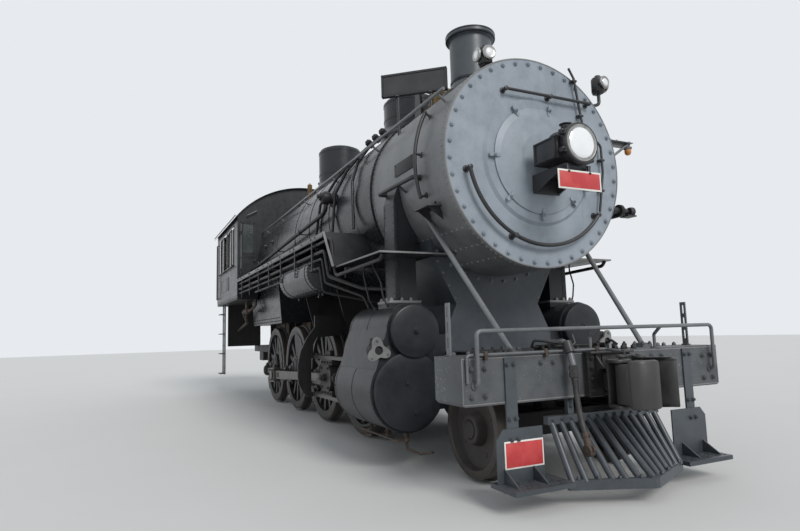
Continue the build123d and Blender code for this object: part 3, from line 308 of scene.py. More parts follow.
brass = simple("bell_brass", "brass_bell", (0.235, 0.15, 0.06), (0.115, 0.078, 0.04), 7.0, 0.38, 0.4, 0.1,
    Metallic=0.8)
rubber = simple("hose_rubber", "hose_rubber", (0.02, 0.02, 0.021), (0.045, 0.043, 0.041), 22.0, 0.5, 0.2, 0.6)
enamel = simple("plate_red_enamel", "board_black", (0.46, 0.035, 0.04), (0.56, 0.07, 0.065), 6.0, 0.38, 0.25,
    0.08)
white_line = simple("plate_white_enamel", "board_black", (0.66, 0.64, 0.6), (0.78, 0.77, 0.74), 9.0, 0.42,
    0.2, 0.08)
leather = simple("seat_leather", "cab_black", (0.055, 0.035, 0.024), (0.09, 0.055, 0.036), 14.0, 0.55, 0.3,
    0.7)
wood = simple("sash_wood", "cab_black", (0.034, 0.024, 0.018), (0.058, 0.04, 0.028), 5.0, 0.45, 0.2, 0.3)
lens = simple("headlight_lens", "trim_grey", (0.8, 0.82, 0.84), (0.9, 0.91, 0.92), 3.0, 0.12, 0.1, 0.02,
              Metallic=0.35, Coat_Weight=0.6, Coat_Roughness=0.05)
pane = simple("window_pane", "cab_black", (0.05, 0.06, 0.062), (0.11, 0.12, 0.12), 2.0, 0.1, 0.12, 0.02,
              Transmission_Weight=0.55, Specular_IOR_Level=0.6)
dial = simple("gauge_face", "trim_grey", (0.7, 0.69, 0.64), (0.78, 0.77, 0.73), 20.0, 0.35, 0.1, 0.02,
    Coat_Weight=0.5)
print(len(bpy.data.materials), "materials")

# %% [markdown]
# Each carried-over CAD piece gets its finish by its name. The table lists the pieces that share one finish
# in one row, so that it shows at a glance which parts of the engine belong together.

# %% Finishes for the CAD pieces
cad_finishes = (
    (front_paint, ("smokebox_front", "smokebox_door")),
    (side_paint, ("smokebox",)),
    (rail_paint, ("front_braces", "boiler_handrails", "air_pipe")),
    (jacket_paint, ("boiler", "firebox", "sand_dome", "steam_dome", "bell_stand", "air_reservoirs")),
    (frame_paint, ("main_frames", "frame_crossties", "lead_truck_frame", "spring_rigging", "brake_rigging",
                   "tail_beam", "cab_floor", "guide_yokes", "backhead_fittings", "fire_door",
                   "air_compressor")),
    (cab_paint, ("cab_sides", "cab_roof", "roof_hatch", "cab_front", "right_cab_door", "left_cab_door",
                 "running_boards", "front_deck")),
    (cylinder_paint, ("right_cylinder", "left_cylinder", "steam_pipes")),
    # The beam's finish holds painted shade in its grey.
    (beam_paint_with_painted_shade, ("pilot_beam",)),
    (pilot_paint, ("pilot", "steps", "smokestack", "cylinder_saddle")),
    (black_paint, ("headlight", "number_boards")),
    (coupler_iron, ("coupler_head", "coupler_knuckle")),
    (rusty_iron, ("ash_pan", "hose_coupling")),
    (brown_wheel, ("lead_axle",)),
    (wheel_iron, ("driver_axle_1", "driver_axle_2", "driver_axle_3", "driver_axle_4",
                  "right_crosshead", "left_crosshead", "valve_rods")),
    (rod_steel, ("guides", "right_main_rod", "left_main_rod", "right_side_rods", "left_side_rods")),
    (brass, ("bell",)),
    (rubber, ("air_hose",)),
)


def paint_node(name, finish):
    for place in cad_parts[name].material_slots:
        place.material = finish.material


for finish, names in cad_finishes:
    for name in names:
        paint_node(name, finish)
painted = {name for _, names in cad_finishes for name in names}
print("left unpainted:", sorted(set(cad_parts) - painted))

# %% [markdown]
# Pieces are gathered in one mesh each. This class has the few shapes that a fitter uses: turned work,
# bars and pipes along a route, plates with an outline, blocks with broken edges, and bolt heads. Profiles,
# routes and outlines are written in millimetres, as on a drawing, and single sizes in metres. Places are
# given in the layout, and keep() moves the mesh to the engine's origin and fixes it to its body. A piece
# gets the material of its finish.

# %% Workbench for the fittings
UP, DOWN, AHEAD, BACK, LEFT, RIGHT = (0, 0, 1), (0, 0, -1), (1, 0, 0), (-1, 0, 0), (0, 1, 0), (0, -1, 0)
SIDES = (("right", -1), ("left", 1))


def mm(text):
    """Rows of numbers in millimetres turned into metres. What isn't text is in metres already."""
    if not isinstance(text, str):
        return text
    return [tuple(float(n) / 1000 for n in row.split()) for row in text.split(",")]


def aim(axis, place):
    """The move that takes the z axis to the given axis, at the given place."""
    return Matrix.Translation(Vector(place)) @ Vector(axis).to_track_quat("Z", "Y").to_matrix().to_4x4()


def circle(centre, radius, count, plane="yz", first=0.0, close=False):
    """Places evenly around a circle, from an angle in degrees. The plane is named by its two axes."""
    places = []
    for step in range(count + close):
        angle = radians(first) + 2 * pi * step / count
        place = Vector(centre)
        place["xyz".index(plane[0])] += radius * cos(angle)
        place["xyz".index(plane[1])] += radius * sin(angle)
        places.append(place)
    return places


def grid(*axes):
    """All places that combine the numbers given for x, y and z."""
    return [Vector(place) for place in product(*(a if isinstance(a, tuple) else (a,) for a in axes))]


def strips(a0, a1, b0, b1, upright, level):
    """The four strips of a frame around a rectangle, from the widths of its upright and its level ones."""
    return ((a0, a1, b0, b0 + level), (a0, a1, b1 - level, b1), (a0, a0 + upright, b0, b1),
        (a1 - upright, a1, b0, b1))


class Work:
    """Collects the mesh of one piece. Profiles, routes and outlines may be given as text in millimetres."""

    def __init__(self):
        self.mesh = bmesh.new()

    def rings(self, rows, close_ends=True):
        """Skin between rows of points, each a closed loop, or one point for a tip."""
        made = [[self.mesh.verts.new(p) for p in row] for row in rows]
        for low, high in zip(made, made[1:]):
            if len(low) == 1 and len(high) == 1:
                continue
            count = max(len(low), len(high))
            for i in range(count):
                j = (i + 1) % count
                if len(low) == 1:
                    self.mesh.faces.new((low[0], high[j], high[i]))
                elif len(high) == 1:
                    self.mesh.faces.new((low[i], low[j], high[0]))
                else:
                    self.mesh.faces.new((low[i], low[j], high[j], high[i]))
        for row in (made[0], made[-1]):
            if close_ends and len(row) > 2:
                self.mesh.faces.new(row)
        return self

    def turned(self, profile, places, axis=UP, steps=28):
        """Turned work from (along, radius) pairs, at one place or at each of a list."""
        for place in places if isinstance(places, list) else [places]:
            move = aim(axis, place)
            self.rings([[move @ Vector((0, 0, along))] if radius < 1e-5 else
                        [move @ p for p in circle((0, 0, along), radius, steps, "xy")]
                        for along, radius in mm(profile)])
        return self

    def pipe(self, route, radius, bend=0.0, steps=12):
        """A bar or pipe along straight runs, with its corners rounded by bend."""
        corners = [Vector(p) for p in mm(route)]
        line = [corners[0]]
        for before, corner, after in zip(corners, corners[1:], corners[2:]):
            into, away = corner - before, after - corner
            turn = into.angle(away)
            if bend == 0.0 or turn < 0.02:
                line.append(corner)
                continue
            reach = min(bend * tan(turn / 2), 0.48 * into.length, 0.48 * away.length)
            start, end = corner - into.normalized() * reach, corner + away.normalized() * reach
            for i in range(7):
                t = i / 6
                line.append(start * (1 - t) ** 2 + corner * 2 * t * (1 - t) + end * t ** 2)
        line.append(corners[-1])
        line = [p for i, p in enumerate(line) if i == 0 or (p - line[i - 1]).length > 1e-5]
        heading = (line[1] - line[0]).normalized()
        side = heading.orthogonal().normalized()
        rows = []
        for i, point in enumerate(line):
            after = (line[min(i + 1, len(line) - 1)] - point)
            before = point - line[max(i - 1, 0)]
            mean = (after.normalized() if after.length else Vector()) + (before.normalized() if before.length
                else Vector())
            heading = mean.normalized()
            side = (side - heading * side.dot(heading)).normalized()
            across = heading.cross(side)
            rows.append([point + (side * cos(2 * pi * k / steps) + across * sin(2 * pi * k / steps))
                         * radius for k in range(steps)])
        return self.rings(rows)

    def block(self, low, high, edge=0.004, turn=None):
        """A block between two corners, its edges broken, turned by a matrix if one is given."""
        low, high = Vector(low), Vector(high)
        made = bmesh.ops.create_cube(self.mesh, size=1.0)["verts"]
        size = high - low
        for vert in made:
            vert.co = Vector((vert.co.x * size.x, vert.co.y * size.y, vert.co.z * size.z)) + (low + high) / 2
        edge = min(edge, 0.3 * min(abs(size.x), abs(size.y), abs(size.z)))
        edges = list({e for v in made for e in v.link_edges})
        made = bmesh.ops.bevel(self.mesh, geom=edges, offset=edge, segments=2, affect="EDGES",
            profile=0.5)["verts"] + \
            [v for v in made if v.is_valid]
        if turn:
            for vert in {v for v in made if v.is_valid}:
                vert.co = turn @ vert.co
        return self

    def plate(self, outline, low, high, along="x"):
        """A flat outline in the two other axes, between two places along one axis."""
        order = {"x": lambda a, b, c: (c, a, b), "y": lambda a, b, c: (a, c, b), "z": lambda a, b,
            c: (a, b, c)}[along]
        return self.rings([[Vector(order(a, b, c)) for a, b in mm(outline)] for c in (low, high)])

    def strap(self, x, half, radii, first, last, steps, z=boiler_z, y=0.0):
        """A flat band bent around a line along x. It gives back the angles of its points."""
        spread = [first + (last - first) * i / steps for i in range(steps + 1)]
        self.rings([[around(angle, radius, x + side, z, y)
                     for radius, row in zip(radii, (spread, spread[::-1])) for angle in row]
                     for side in (-half, half)])
        return spread

    def bolt(self, places, axis, across, height):
        """Hexagon heads on washers, each with the end of its stud."""
        radius = across / 1.8
        self.turned(((0, radius * 1.25), (height * 0.18, radius * 1.25), (height * 0.2, radius * 1.1)),
            places, axis, 12)
        self.turned(((height * 0.15, radius), (height * 0.85, radius), (height, radius * 0.86)), places, axis,
            6)
        return self.turned(((height, radius * 0.5), (height * 1.35, radius * 0.45)), places, axis, 8)

    def rivet(self, places, axis, radius, height):
        return self.turned(((0, radius), (height * 0.55, radius * 0.82), (height, radius * 0.35)), places,
            axis, 8)

    def barrel_rivets(self, angles, radius, x, *size, z=boiler_z, y=0.0):
        """Rivets around a line along x, each pointing away from it."""
        for angle in angles:
            self.rivet(around(angle, radius, x, z, y), outward(angle), *size)

    def lump(self, place, radius):
        """A ball, for a knob."""
        halves = [pi * (i / 8 - 0.5) for i in range(9)]
        return self.turned([(sin(t) * radius, max(cos(t) * radius, 0.0)) for t in halves], place, UP, 14)

    def keep(self, name, finish, body="engine", both=False, slot=None):
        if both:
            every = self.mesh.verts[:] + self.mesh.edges[:] + self.mesh.faces[:]
            bmesh.ops.mirror(self.mesh, geom=every, matrix=Matrix(), merge_dist=-1.0, axis="Y")
        bmesh.ops.translate(self.mesh, vec=layout_shift, verts=self.mesh.verts)
        bmesh.ops.recalc_face_normals(self.mesh, faces=self.mesh.faces)
        data = bpy.data.meshes.new(name)
        self.mesh.to_mesh(data)
        self.mesh.free()
        data.materials.append(finish.material)
        data.shade_smooth()
        data.set_sharp_from_angle(angle=radians(38))
        piece = bpy.data.objects.new(name, data)
        scene.collection.objects.link(piece)
        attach(piece, body)
        print(name, len(data.polygons), "faces")
        return piece


def around(angle, radius, x, z=boiler_z, y=0.0):
    """A place on a circle about the boiler's line. 0 degrees is the engine's left and 90 is the top."""
    return Vector((x, y + radius * cos(radians(angle)), z + radius * sin(radians(angle))))


def outward(angle):
    return Vector((0, cos(radians(angle)), sin(radians(angle))))


print("workbench ready")

# %% [markdown]
# At the end of the hose is its coupling. It is an iron casting with a round chest, a flat face with a
# gasket, a hook that catches its twin, and a tail that the hose is clamped on. Turned pieces and one
# outlined plate give that shape, and it hangs in line with the hose.

# %% Hose coupling
hose_end = Vector((0.89, -0.425, 0.455))
hose_heading = (hose_end - Vector((0.858, -0.423, 0.54))).normalized()
coupling = Work()
coupling.turned("-35 26, -35 31, 0 31, 4 27, 30 25, 70 30, 90 36, 108 36, 116 20", hose_end, hose_heading, 20)
chest = hose_end + hose_heading * 0.092
coupling.turned("-34 18, -31 44, 6 50, 12 47, 14 38, 30 36, 31 24", chest, (0.0, 1.0, 0.12), 24)
hook = [(0.045, 0.0), (0.062, 0.018), (0.056, 0.045), (0.03, 0.052), (0.022, 0.04), (0.036, 0.03),
        (0.034, 0.008), (-0.03, -0.02), (-0.02, -0.04), (0.02, -0.032)]
coupling.rings([[chest + Vector((a, side, b - 0.012)) for a, b in hook] for side in (-0.014, 0.01)])
for turn in (-0.012, -0.026):
    coupling.turned(((turn, 0.033), (turn + 0.007, 0.034)), hose_end, hose_heading, 16)
coupling.bolt(hose_end + Vector((0.034, 0.0, 0.016)), LEFT, 0.014, 0.012)
gladhand = coupling.keep("hose_coupling_casting", rusty_iron)
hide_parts("hose_coupling")

# %% [markdown]
# The air hose hangs from the pipe on the beam. It is a length of
# rubber hose, 0.44 m long and 44 mm thick, with a coupling of rusty iron on its end. A smooth curve is
# better than a tube with bends here, because rubber bends all along its length. The points are the
# corners that the curve leans towards.

# %% Air hose
hose_route = ((0.8, -0.42, 0.89), (0.81, -0.42, 0.76), (0.83, -0.421, 0.64),
              (0.858, -0.423, 0.54), (0.89, -0.425, 0.455))
hose_points = [Vector(p) + layout_shift for p in hose_route]
hose_curve = bpy.data.curves.new("front_air_hose", "CURVE")
hose_curve.dimensions = "3D"
hose_curve.bevel_depth = 0.022
hose_curve.bevel_resolution = 6
hose_curve.use_fill_caps = True
spline = hose_curve.splines.new("NURBS")
spline.points.add(len(hose_points) - 1)
for point, place in zip(spline.points, hose_points):
    point.co = (*place, 1.0)
spline.order_u = 3
spline.use_endpoint_u = True
spline.resolution_u = 16
air_hose = bpy.data.objects.new("front_air_hose", hose_curve)
scene.collection.objects.link(air_hose)
air_hose.data.materials.append(rubber.material)
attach(air_hose, "engine")
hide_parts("air_hose")
print("hose of", len(hose_points), "points")

# %% [markdown]
# The front sheet closes the smokebox and is held by a ring of hexagon nuts on studs. The forty nuts are
# one piece, since they never move apart from each other.

# %% Nuts around the smokebox front
nuts = Work().bolt(circle(boiler_line, 0.99, 40, first=3.0), AHEAD, 0.038, 0.022)
nuts.keep("smokebox_front_nuts", front_paint)

# %% [markdown]
# Rivets hold the smokebox to its front ring and to the boiler. They are low round heads, closely spaced.
# Rows along the bottom of the sheet follow the saddle, and the ring of the front sheet shows a narrow
# welded lip, which gives the edge its bright line.

# %% Rivets and lip of the smokebox
rivets = Work()
for x, count in ((-0.045, 112), (-1.655, 104)):
    rivets.barrel_rivets([360 * step / count for step in range(count)], smokebox_radius - 0.001, x, 0.015,
        0.01)
for step in range(16):
    rivets.barrel_rivets((-40, -52, -64, 220, 232, 244), smokebox_radius - 0.001, -0.14 - step * 0.098, 0.014,
        0.009)
rivets.keep("smokebox_rivets", worn_edge)
lip = Work().rings([circle((x, 0, boiler_z), r, 128) for x, r in
                    mm("-30 1040.5, -30 1046, -4 1046, 3 1041, 3 1030, -1 1029.5")], close_ends=False)
lip.keep("smokebox_front_lip", worn_edge)

# %% [markdown]
# Dogs clamp the round door against its ring: each is a short bar that bears on the door and on the ring,
# with a stud and nut through it. There are six, none of them at the hinge, and they move with the door
# here, as they stay hanging on it.

# %% Dogs on the smokebox door
dogs = Work()
for angle in (75, 120, 180, 225, 270, 315):
    middle = around(angle, 0.535, 0.055)
    for outline, low, high in (("-60 -13, 46 -17, 56 -12, 56 12, 46 17, -60 13", -0.012, 0.004),
                               ("30 -12, 52 -12, 52 12, 30 12", -0.028, -0.008)):
        dogs.rings([[middle + outward(angle) * a + outward(angle + 90) * b + Vector((c, 0, 0))
                     for a, b in mm(outline)] for c in (low, high)])
    dogs.bolt(middle + Vector((0.004, 0, 0)), AHEAD, 0.028, 0.022)
dogs.keep("smokebox_door_dogs", front_paint, "smokebox_door")
straps = Work()
for z in (boiler_z - 0.18, boiler_z + 0.18):
    straps.bolt([(0.0775, 0.36, z), (0.0775, 0.42, z), (0.0765, 0.475, z)], AHEAD, 0.026, 0.014)
    straps.block((0.06, 0.335, z - 0.026), (0.078, 0.46, z + 0.026))
straps.keep("smokebox_door_hinge_straps", front_paint, "smokebox_door")

# %% [markdown]
# Behind the door a liner plate keeps hot cinders off it. It shows when the door is open: a dished plate with
# a rolled rim, held by a ring of bolts. It swings with the door, and it is smaller than the opening.

# %% Liner of the smokebox door
liner = Work().turned("24.5 470, 12 470, 4 462, 4 440, 14 425, 14 120, 8 100, 8 0", boiler_line, AHEAD, 64)
liner.bolt(circle((0.014, 0, boiler_z), 0.38, 12, first=15.0), BACK, 0.03, 0.018)
liner.keep("smokebox_door_liner", rusty_iron, "smokebox_door", slot="smokebox_grey")

# %% [markdown]
# A handrail runs in a wide curve under the door and a grab iron across the top, for whoever cleans the
# headlight. Both stand off the sheet on short feet. The curve has no straight run, so its bar is swept
# through many close points of one circle.

# %% Handrails on the smokebox front
curve = [around(angle, 0.84, 0.075, boiler_z + 0.01) for angle in range(191, 325, 3)]
feet = [(0, p.y, p.z) for p in (curve[0], curve[len(curve) * 2 // 5], curve[-1])]
front_rail = Work().pipe(curve, 0.019).turned("0 34, 8 34, 10 20, 60 14, 66 24, 90 24, 96 12", feet, AHEAD,
    16)
front_rail.keep("smokebox_front_handrail", black_paint)
feet = grid(0, (-0.375, 0.16, 0.655), 3.56)
grab = Work().pipe("62 -385 3560, 62 668 3560", 0.015)
grab.turned("0 30, 8 30, 10 16, 46 13, 50 22, 74 22, 80 10", feet, AHEAD, 16)
grab.keep("smokebox_top_grab_iron", black_paint)

# %% [markdown]
# An iron conduit carries a cable down the front, from the class light at the rim to the lower handrail.
# It is held by clips.

# %% Conduit on the smokebox front
conduit = Work().pipe("30 440 3915, 45 488 3804, 45 530 3521, 45 566 3315, 45 700 3200, 45 790 3130, "
                      "45 795 2850, 45 720 2440", 0.012, 0.06)
for y, z in mm("490 3780, 548 3420, 793 2980, 765 2660"):
    conduit.block((0.0, y - 0.028, z - 0.012), (0.06, y + 0.028, z + 0.012), 0.006)
conduit.keep("smokebox_front_conduit", black_paint)

# %% [markdown]
# The headlight is a short drum with a bright rim, a slightly crowned glass, and two lugs for its clamp.
# Its drum and shelf are CAD pieces, and the rim, the glass and the lugs are turned here. They hang on the
# door and swing with it.

# %% Headlight rim and glass
rim_finish = simple("bright_rim_metal", "trim_grey", (0.42, 0.42, 0.41), (0.26, 0.255, 0.24), 16.0, 0.28, 0.3,
    0.1,
                    Metallic=0.85)
rim = Work().turned("565 176, 565 184, 578 190, 600 190, 610 183, 613 170, 609 156, 603 150", boiler_line,
    AHEAD, 56)
for z in (boiler_z - 0.075, boiler_z + 0.085):
    rim.block((0.555, -0.215, z - 0.022), (0.606, -0.16, z + 0.022), 0.006)
    rim.bolt((0.606, -0.2, z), AHEAD, 0.022, 0.014)
rim.keep("headlight_rim", black_paint, "smokebox_door", slot="trim_grey")
bright = Work().turned("598 150, 612 158, 614 166, 610 171", boiler_line, AHEAD, 56)
bright.keep("headlight_bright_ring", rim_finish, "smokebox_door")
glass = Work().turned("600 158, 606 150, 616 120, 623 75, 626 30, 626.5 0", boiler_line, AHEAD, 48)
glass.keep("headlight_glass", lens, "smokebox_door")
drum = Work().turned("345 175.5, 345 181, 365 181, 365 175.5", boiler_line, AHEAD, 48)
drum.turned("505 175.5, 505 181, 525 181, 525 175.5", boiler_line, AHEAD, 48)
drum.turned("0 30, 20 45, 50 45, 58 60, 64 60, 70 30", (0.42, 0.0, boiler_z + 0.17), UP, 20)
drum.bolt(grid((0.16, 0.46), (-0.11, 0.11), 2.716), UP, 0.026, 0.014)
drum.keep("headlight_bands_and_vent", black_paint, "smokebox_door")

# %% [markdown]
# Beside the lamp is a flat box with a dark glass on each side. Each glass is a plain dark pane in a thin
# raised frame.

# %% Blank panes of the number box
panel = simple("blank_panel", "board_black", (0.018, 0.018, 0.02), (0.032, 0.032, 0.035), 5.0, 0.3, 0.2, 0.05,
    Coat_Weight=0.3)
panes = Work()
frames = Work()
for side in (-1, 1):
    panes.block((0.245, side * 0.2165 - 0.003, 2.785), (0.49, side * 0.2165 + 0.003, 2.948), 0.001)
    for low, high in (((0.228, 2.776), (0.246, 2.958)), ((0.489, 2.776), (0.507, 2.958)),
                      ((0.228, 2.77), (0.507, 2.786)), ((0.228, 2.947), (0.507, 2.963))):
        frames.block((low[0], side * 0.219 - 0.006, low[1]), (high[0], side * 0.219 + 0.006, high[1]), 0.002)
panes.block((0.519, -0.196, 2.785), (0.524, -0.168, 2.948), 0.001)
for side in (-1, 1):
    frames.block((0.519, side * 0.197 - 0.014, 2.772), (0.527, side * 0.197 + 0.014, 2.961), 0.002)
panes.keep("number_box_panes", panel, "smokebox_door", slot="headlight_black")
frames.keep("number_box_frames", black_paint, "smokebox_door")

# %% [markdown]
# A red enamel plate hangs under the lamp's shelf on two straps. It is a plain red ground inside a narrow
# white line, on a plate of sheet metal.

# %% Red plate under the headlight
def bordered_plate(name, x, y, z, body, line=0.01):
    """A plate that faces forward: a white one, with a red one proud of it inside its line."""
    white, red = Work(), Work()
    white.block((x, y[0], z[0]), (x + 0.005, y[1], z[1]), 0.0015)
    red.block((x + 0.004, y[0] + line, z[0] + line), (x + 0.0066, y[1] - line, z[1] - line), 0.001)
    white.keep(name + "_white_line", white_line, body)
    for end in y:
        inner = end + line * 2.6 if end == y[0] else end - line * 2.6
        red.rivet((x + 0.0065, inner, (z[0] + z[1]) / 2), AHEAD, 0.006, 0.003)
    red.keep(name + "_red_ground", enamel, body)


bordered_plate("headlight_plate", 0.552, (-0.245, 0.245), (2.48, 2.655), "smokebox_door", 0.016)
hangers = Work().bolt(grid(0.5565, (-0.12, 0.12), 2.64), AHEAD, 0.018, 0.01)
for y in (-0.12, 0.12):
    hangers.block((0.535, y - 0.015, 2.5), (0.553, y + 0.015, 2.712), 0.003)
hangers.keep("headlight_plate_straps", black_paint, "smokebox_door")

# %% [markdown]
# Class lights stand high at the sides of the smokebox: a small black lamp with a white lens in a bright
# ring towards the front, and another towards the side. Each sits on a bracket that is bolted to the rim.

# %% Class lights
def class_light(name, place, bracket, faces):
    lamp, ring, glass_work = Work(), Work(), Work()
    lamp.turned("-95 30, -88 60, -75 70, 60 70, 76 60, 90 30, 104 28, 108 15", place, UP, 28)
    lamp.pipe(bracket, 0.018, 0.05)
    lamp.block(Vector(bracket[-1]) - Vector((0.05, 0.04, 0.012)),
        Vector(bracket[-1]) + Vector((0.03, 0.04, 0.012)))
    for face in faces:
        lamp.turned("30 60, 85 60, 85 52", place, face, 28)
        ring.turned("80 58, 82 69, 96 69, 104 60, 100 50", place, face, 28)
        glass_work.turned("88 52, 98 46, 106 26, 109 0", place, face, 24)
    lamp.keep(name + "_body", black_paint)
    ring.keep(name + "_rings", rim_finish)
    glass_work.keep(name + "_lenses", lens)


class_light("right_class_light", Vector((-0.08, -0.5, 3.92)),
            ((-0.08, -0.42, 3.78), (-0.08, -0.5, 3.83)), ((1, -0.12, 0), (-0.1, -1, 0)))
class_light("left_class_light", Vector((-0.1, 0.96, 3.875)),
            ((-0.1, 0.74, 3.58), (-0.1, 0.96, 3.66), (-0.1, 0.96, 3.785)), ((1, 0.12, 0), (-0.1, 1, 0)))

# %% [markdown]
# The side of the smokebox has what the crew needs to get up there: a handrail on knobs that follows the
# curve, a small step, a bar to hold, and a plain plate. Both sides are made alike, since one drawing and
# its mirror image served both on the real engine.

# %% Handrail, step and bar on the smokebox side
side_rail = Work().pipe([around(angle, 1.112, -0.45) for angle in range(197, 151, -3)], 0.019)
for angle in (197, 175, 152):
    side_rail.turned("0 30, 10 28, 14 14, 58 12, 62 22, 82 22, 88 10", around(angle, 1.04, -0.45),
        outward(angle), 14)
side_rail.keep("smokebox_side_handrails", black_paint, both=True)
side_step = Work().bolt(grid((-0.48, -0.34), -0.96, 2.498), RIGHT, 0.024, 0.012)
side_step.block((-0.56, -1.085, 2.442), (-0.26, -0.935, 2.456), 0.003)
side_step.block((-0.56, -0.96, 2.456), (-0.26, -0.938, 2.53), 0.003)
for x in (-0.52, -0.3):
    side_step.plate("-930 2443, -1065 2443, -905 2330", x - 0.006, x + 0.006)
side_step.keep("smokebox_side_steps", black_paint, both=True)
bar = Work().pipe("-500 -1030 2774, -500 -1115 2774, -1275 -1140 2774, -1275 -1030 2774", 0.024, 0.04)
bar.pipe("-820 -1030 2700, -820 -1122 2774", 0.012)
bar.turned("0 36, 10 34, 12 18", grid((-0.5, -1.275), -1.03, 2.774), RIGHT, 16)
bar.keep("smokebox_side_bars", black_paint, both=True)
blank = Work().rivet(grid((-1.02, -0.64), -1.0515, (2.93, 3.025)), RIGHT, 0.008, 0.005)
blank.block((-1.045, -1.052, 2.91), (-0.615, -1.046, 3.045), 0.002)
for x in (-1.0, -0.66):
    blank.block((x - 0.02, -1.047, 2.915), (x + 0.02, -1.005, 3.04), 0.004)
blank.keep("smokebox_side_blank_plates", frame_paint, both=True)

# %% [markdown]
# On the left of the smokebox, seen past its edge, are an outrigger of angle iron with a small amber lamp
# under it, and a pipe elbow with round flanges. Only their outer ends show from the front.

# %% Outrigger, lamp and elbow on the left
amber = simple("amber_glass", "trim_grey", (0.5, 0.2, 0.03), (0.38, 0.13, 0.02), 9.0, 0.2, 0.1, 0.02,
    Coat_Weight=0.4)
outrigger = Work().bolt(grid(-0.045, (1.03, 1.12, 1.3), 3.253), UP, 0.022, 0.012)
outrigger.block((-0.075, 0.9, 3.245), (-0.02, 1.335, 3.253), 0.003)
outrigger.block((-0.075, 0.9, 3.19), (-0.067, 1.335, 3.253), 0.003)
outrigger.pipe("-55 1010 3050, -55 1280 3235", 0.014)
outrigger.turned("-20 30, 0 45, 12 45, 22 20", (-0.045, 1.27, 3.185), UP, 18)
outrigger.keep("left_outrigger", side_paint)
lamp_glass = Work().turned("-52 0, -50 18, -36 32, -12 36, 6 34", (-0.045, 1.27, 3.165), UP, 18)
lamp_glass.keep("left_outrigger_lamp", amber)
elbow = Work()
elbow.pipe("-85 930 2500, -85 1260 2500, -400 1260 2500, -780 1020 2470, -980 1020 2470", 0.034, 0.08, 16)
for profile in ("0 50, 4 66, 18 66, 20 50", "22 50, 26 66, 40 66, 42 50"):
    elbow.turned(profile, grid(-0.085, (0.965, 1.1), 2.5), LEFT, 24)
elbow.block((-0.15, 1.19, 2.44), (-0.03, 1.315, 2.456), 0.004)
elbow.turned("0 44, 20 50, 50 50, 62 30", (-0.085, 1.26, 2.5), LEFT, 20)
elbow.keep("left_exhaust_elbow", black_paint)

# %% [markdown]
# The stack is bolted to the smokebox through the flared foot. Its rolled rim carries a half-round bead,
# and the inside is black with soot down to the smokebox, so the sleeve has a finish of its own.

# %% Stack bolts, bead and soot
stack_x = -1.085
stack_foot = circle((stack_x, 0, 0), 0.325, 16, "xy")
for place in stack_foot:
    place.z = max(boiler_z + sqrt(smokebox_radius ** 2 - place.y ** 2) + 0.045, 3.992)
stack_work = Work().bolt(stack_foot, UP, 0.03, 0.018)
for z in (4.668, 4.708):
    stack_work.turned([(z + 0.012 * sin(t), 0.284 + 0.008 * cos(t))
        for t in [pi * (i / 6 - 0.5) for i in range(7)]],
                      (stack_x, 0, 0), UP, 56)
stack_work.turned("4130 244.5, 4130 252, 4155 252, 4155 244.5", (stack_x, 0, 0), UP, 56)
stack_work.keep("stack_bolts_and_beads", cylinder_paint)
soot = simple("stack_soot", "boiler_black", (0.006, 0.006, 0.006), (0.02, 0.018, 0.016), 12.0, 0.85, 0.2, 1.0)
sleeve = Work().rings([circle((stack_x, 0, z), r, 48, "xy") for r, z in
                       mm("204.5 4712, 203.5 4400, 204.5 3940, 202 3940, 201 4400, 202 4712")],
                       close_ends=False)
sleeve.keep("stack_soot_sleeve", soot)

# %% [markdown]
# Two plain boards stand across the boiler behind the stack. A board is a shallow box: a dark panel inside
# a raised frame of thin bar, front and back.

# %% Number board frames
board_in, board_out = Vector((-0.98, -0.4, 0)), Vector((-1.475, -0.985, 0))
length = (board_out - board_in).length
run = (board_out - board_in).normalized()
facing = Vector((-run.y, run.x, 0))


def board_plate(work, a0, a1, z0, z1, near, far):
    """A flat rectangle on the slanting board, between two distances from its face."""
    corners = [board_in + run * a + Vector((0, 0, z)) for a, z in ((a0, z0), (a1, z0), (a1, z1), (a0, z1))]
    work.rings([[corner + facing * out for corner in corners] for out in (near, far)])


board_frames, board_panels = Work(), Work()
for near, far, bottom, top in mm("0 12 0 3, -42 -30 -33 -30"):
    for strip in strips(0.0, length, 3.975, 4.24, 0.022, 0.023):
        board_plate(board_frames, *strip, near, far)
    board_plate(board_panels, 0.02, length - 0.02, 3.995, 4.22, bottom, top)
for share in (0.25, 0.75):
    foot = board_in + run * length * share
    board_frames.block(foot + Vector((-0.05, -0.03, 3.962)), foot + Vector((0.02, 0.03, 3.974)), 0.003)
board_frames.keep("number_board_frames", black_paint, both=True, slot="board_black")
board_panels.keep("number_board_panels", panel, both=True)

# %% [markdown]
# The bell hangs from a yoke between two posts. What a founder would add to the CAD shapes is the thick
# lip, a few raised rings, the clapper, and the bolts and the arm that the bell cord pulls.

# %% Bell fittings
bell_x = -1.88
bell_work = Work()
for z, radius in mm("4318 110, 4230 128.5, 4150 150, 4108 188"):
    bell_work.turned([(z - 0.007 * cos(t), radius - 0.003 + 0.007 * sin(t))
        for t in [pi * i / 6 for i in range(7)]],
                     (bell_x, 0, 0), UP, 48)
bell_work.keep("bell_rings", brass, "bell")
clapper = Work().pipe(((bell_x, 0, 4.235), (bell_x, 0, 4.11)), 0.01).lump((bell_x, 0, 4.105), 0.034)
clapper.keep("bell_clapper", rusty_iron, "bell")
yoke = Work().bolt(grid(bell_x, (-0.075, 0.075), 4.43), UP, 0.03, 0.02)
yoke.bolt((bell_x, 0.0, 4.46), UP, 0.04, 0.026)
yoke.pipe(((bell_x, -0.225, 4.4), (bell_x - 0.2, -0.225, 4.44)), 0.012)
yoke.turned("-12 22, 12 22", (bell_x - 0.2, -0.225, 4.44), LEFT, 16)
yoke.keep("bell_yoke_fittings", frame_paint, "bell", slot="boiler_black")
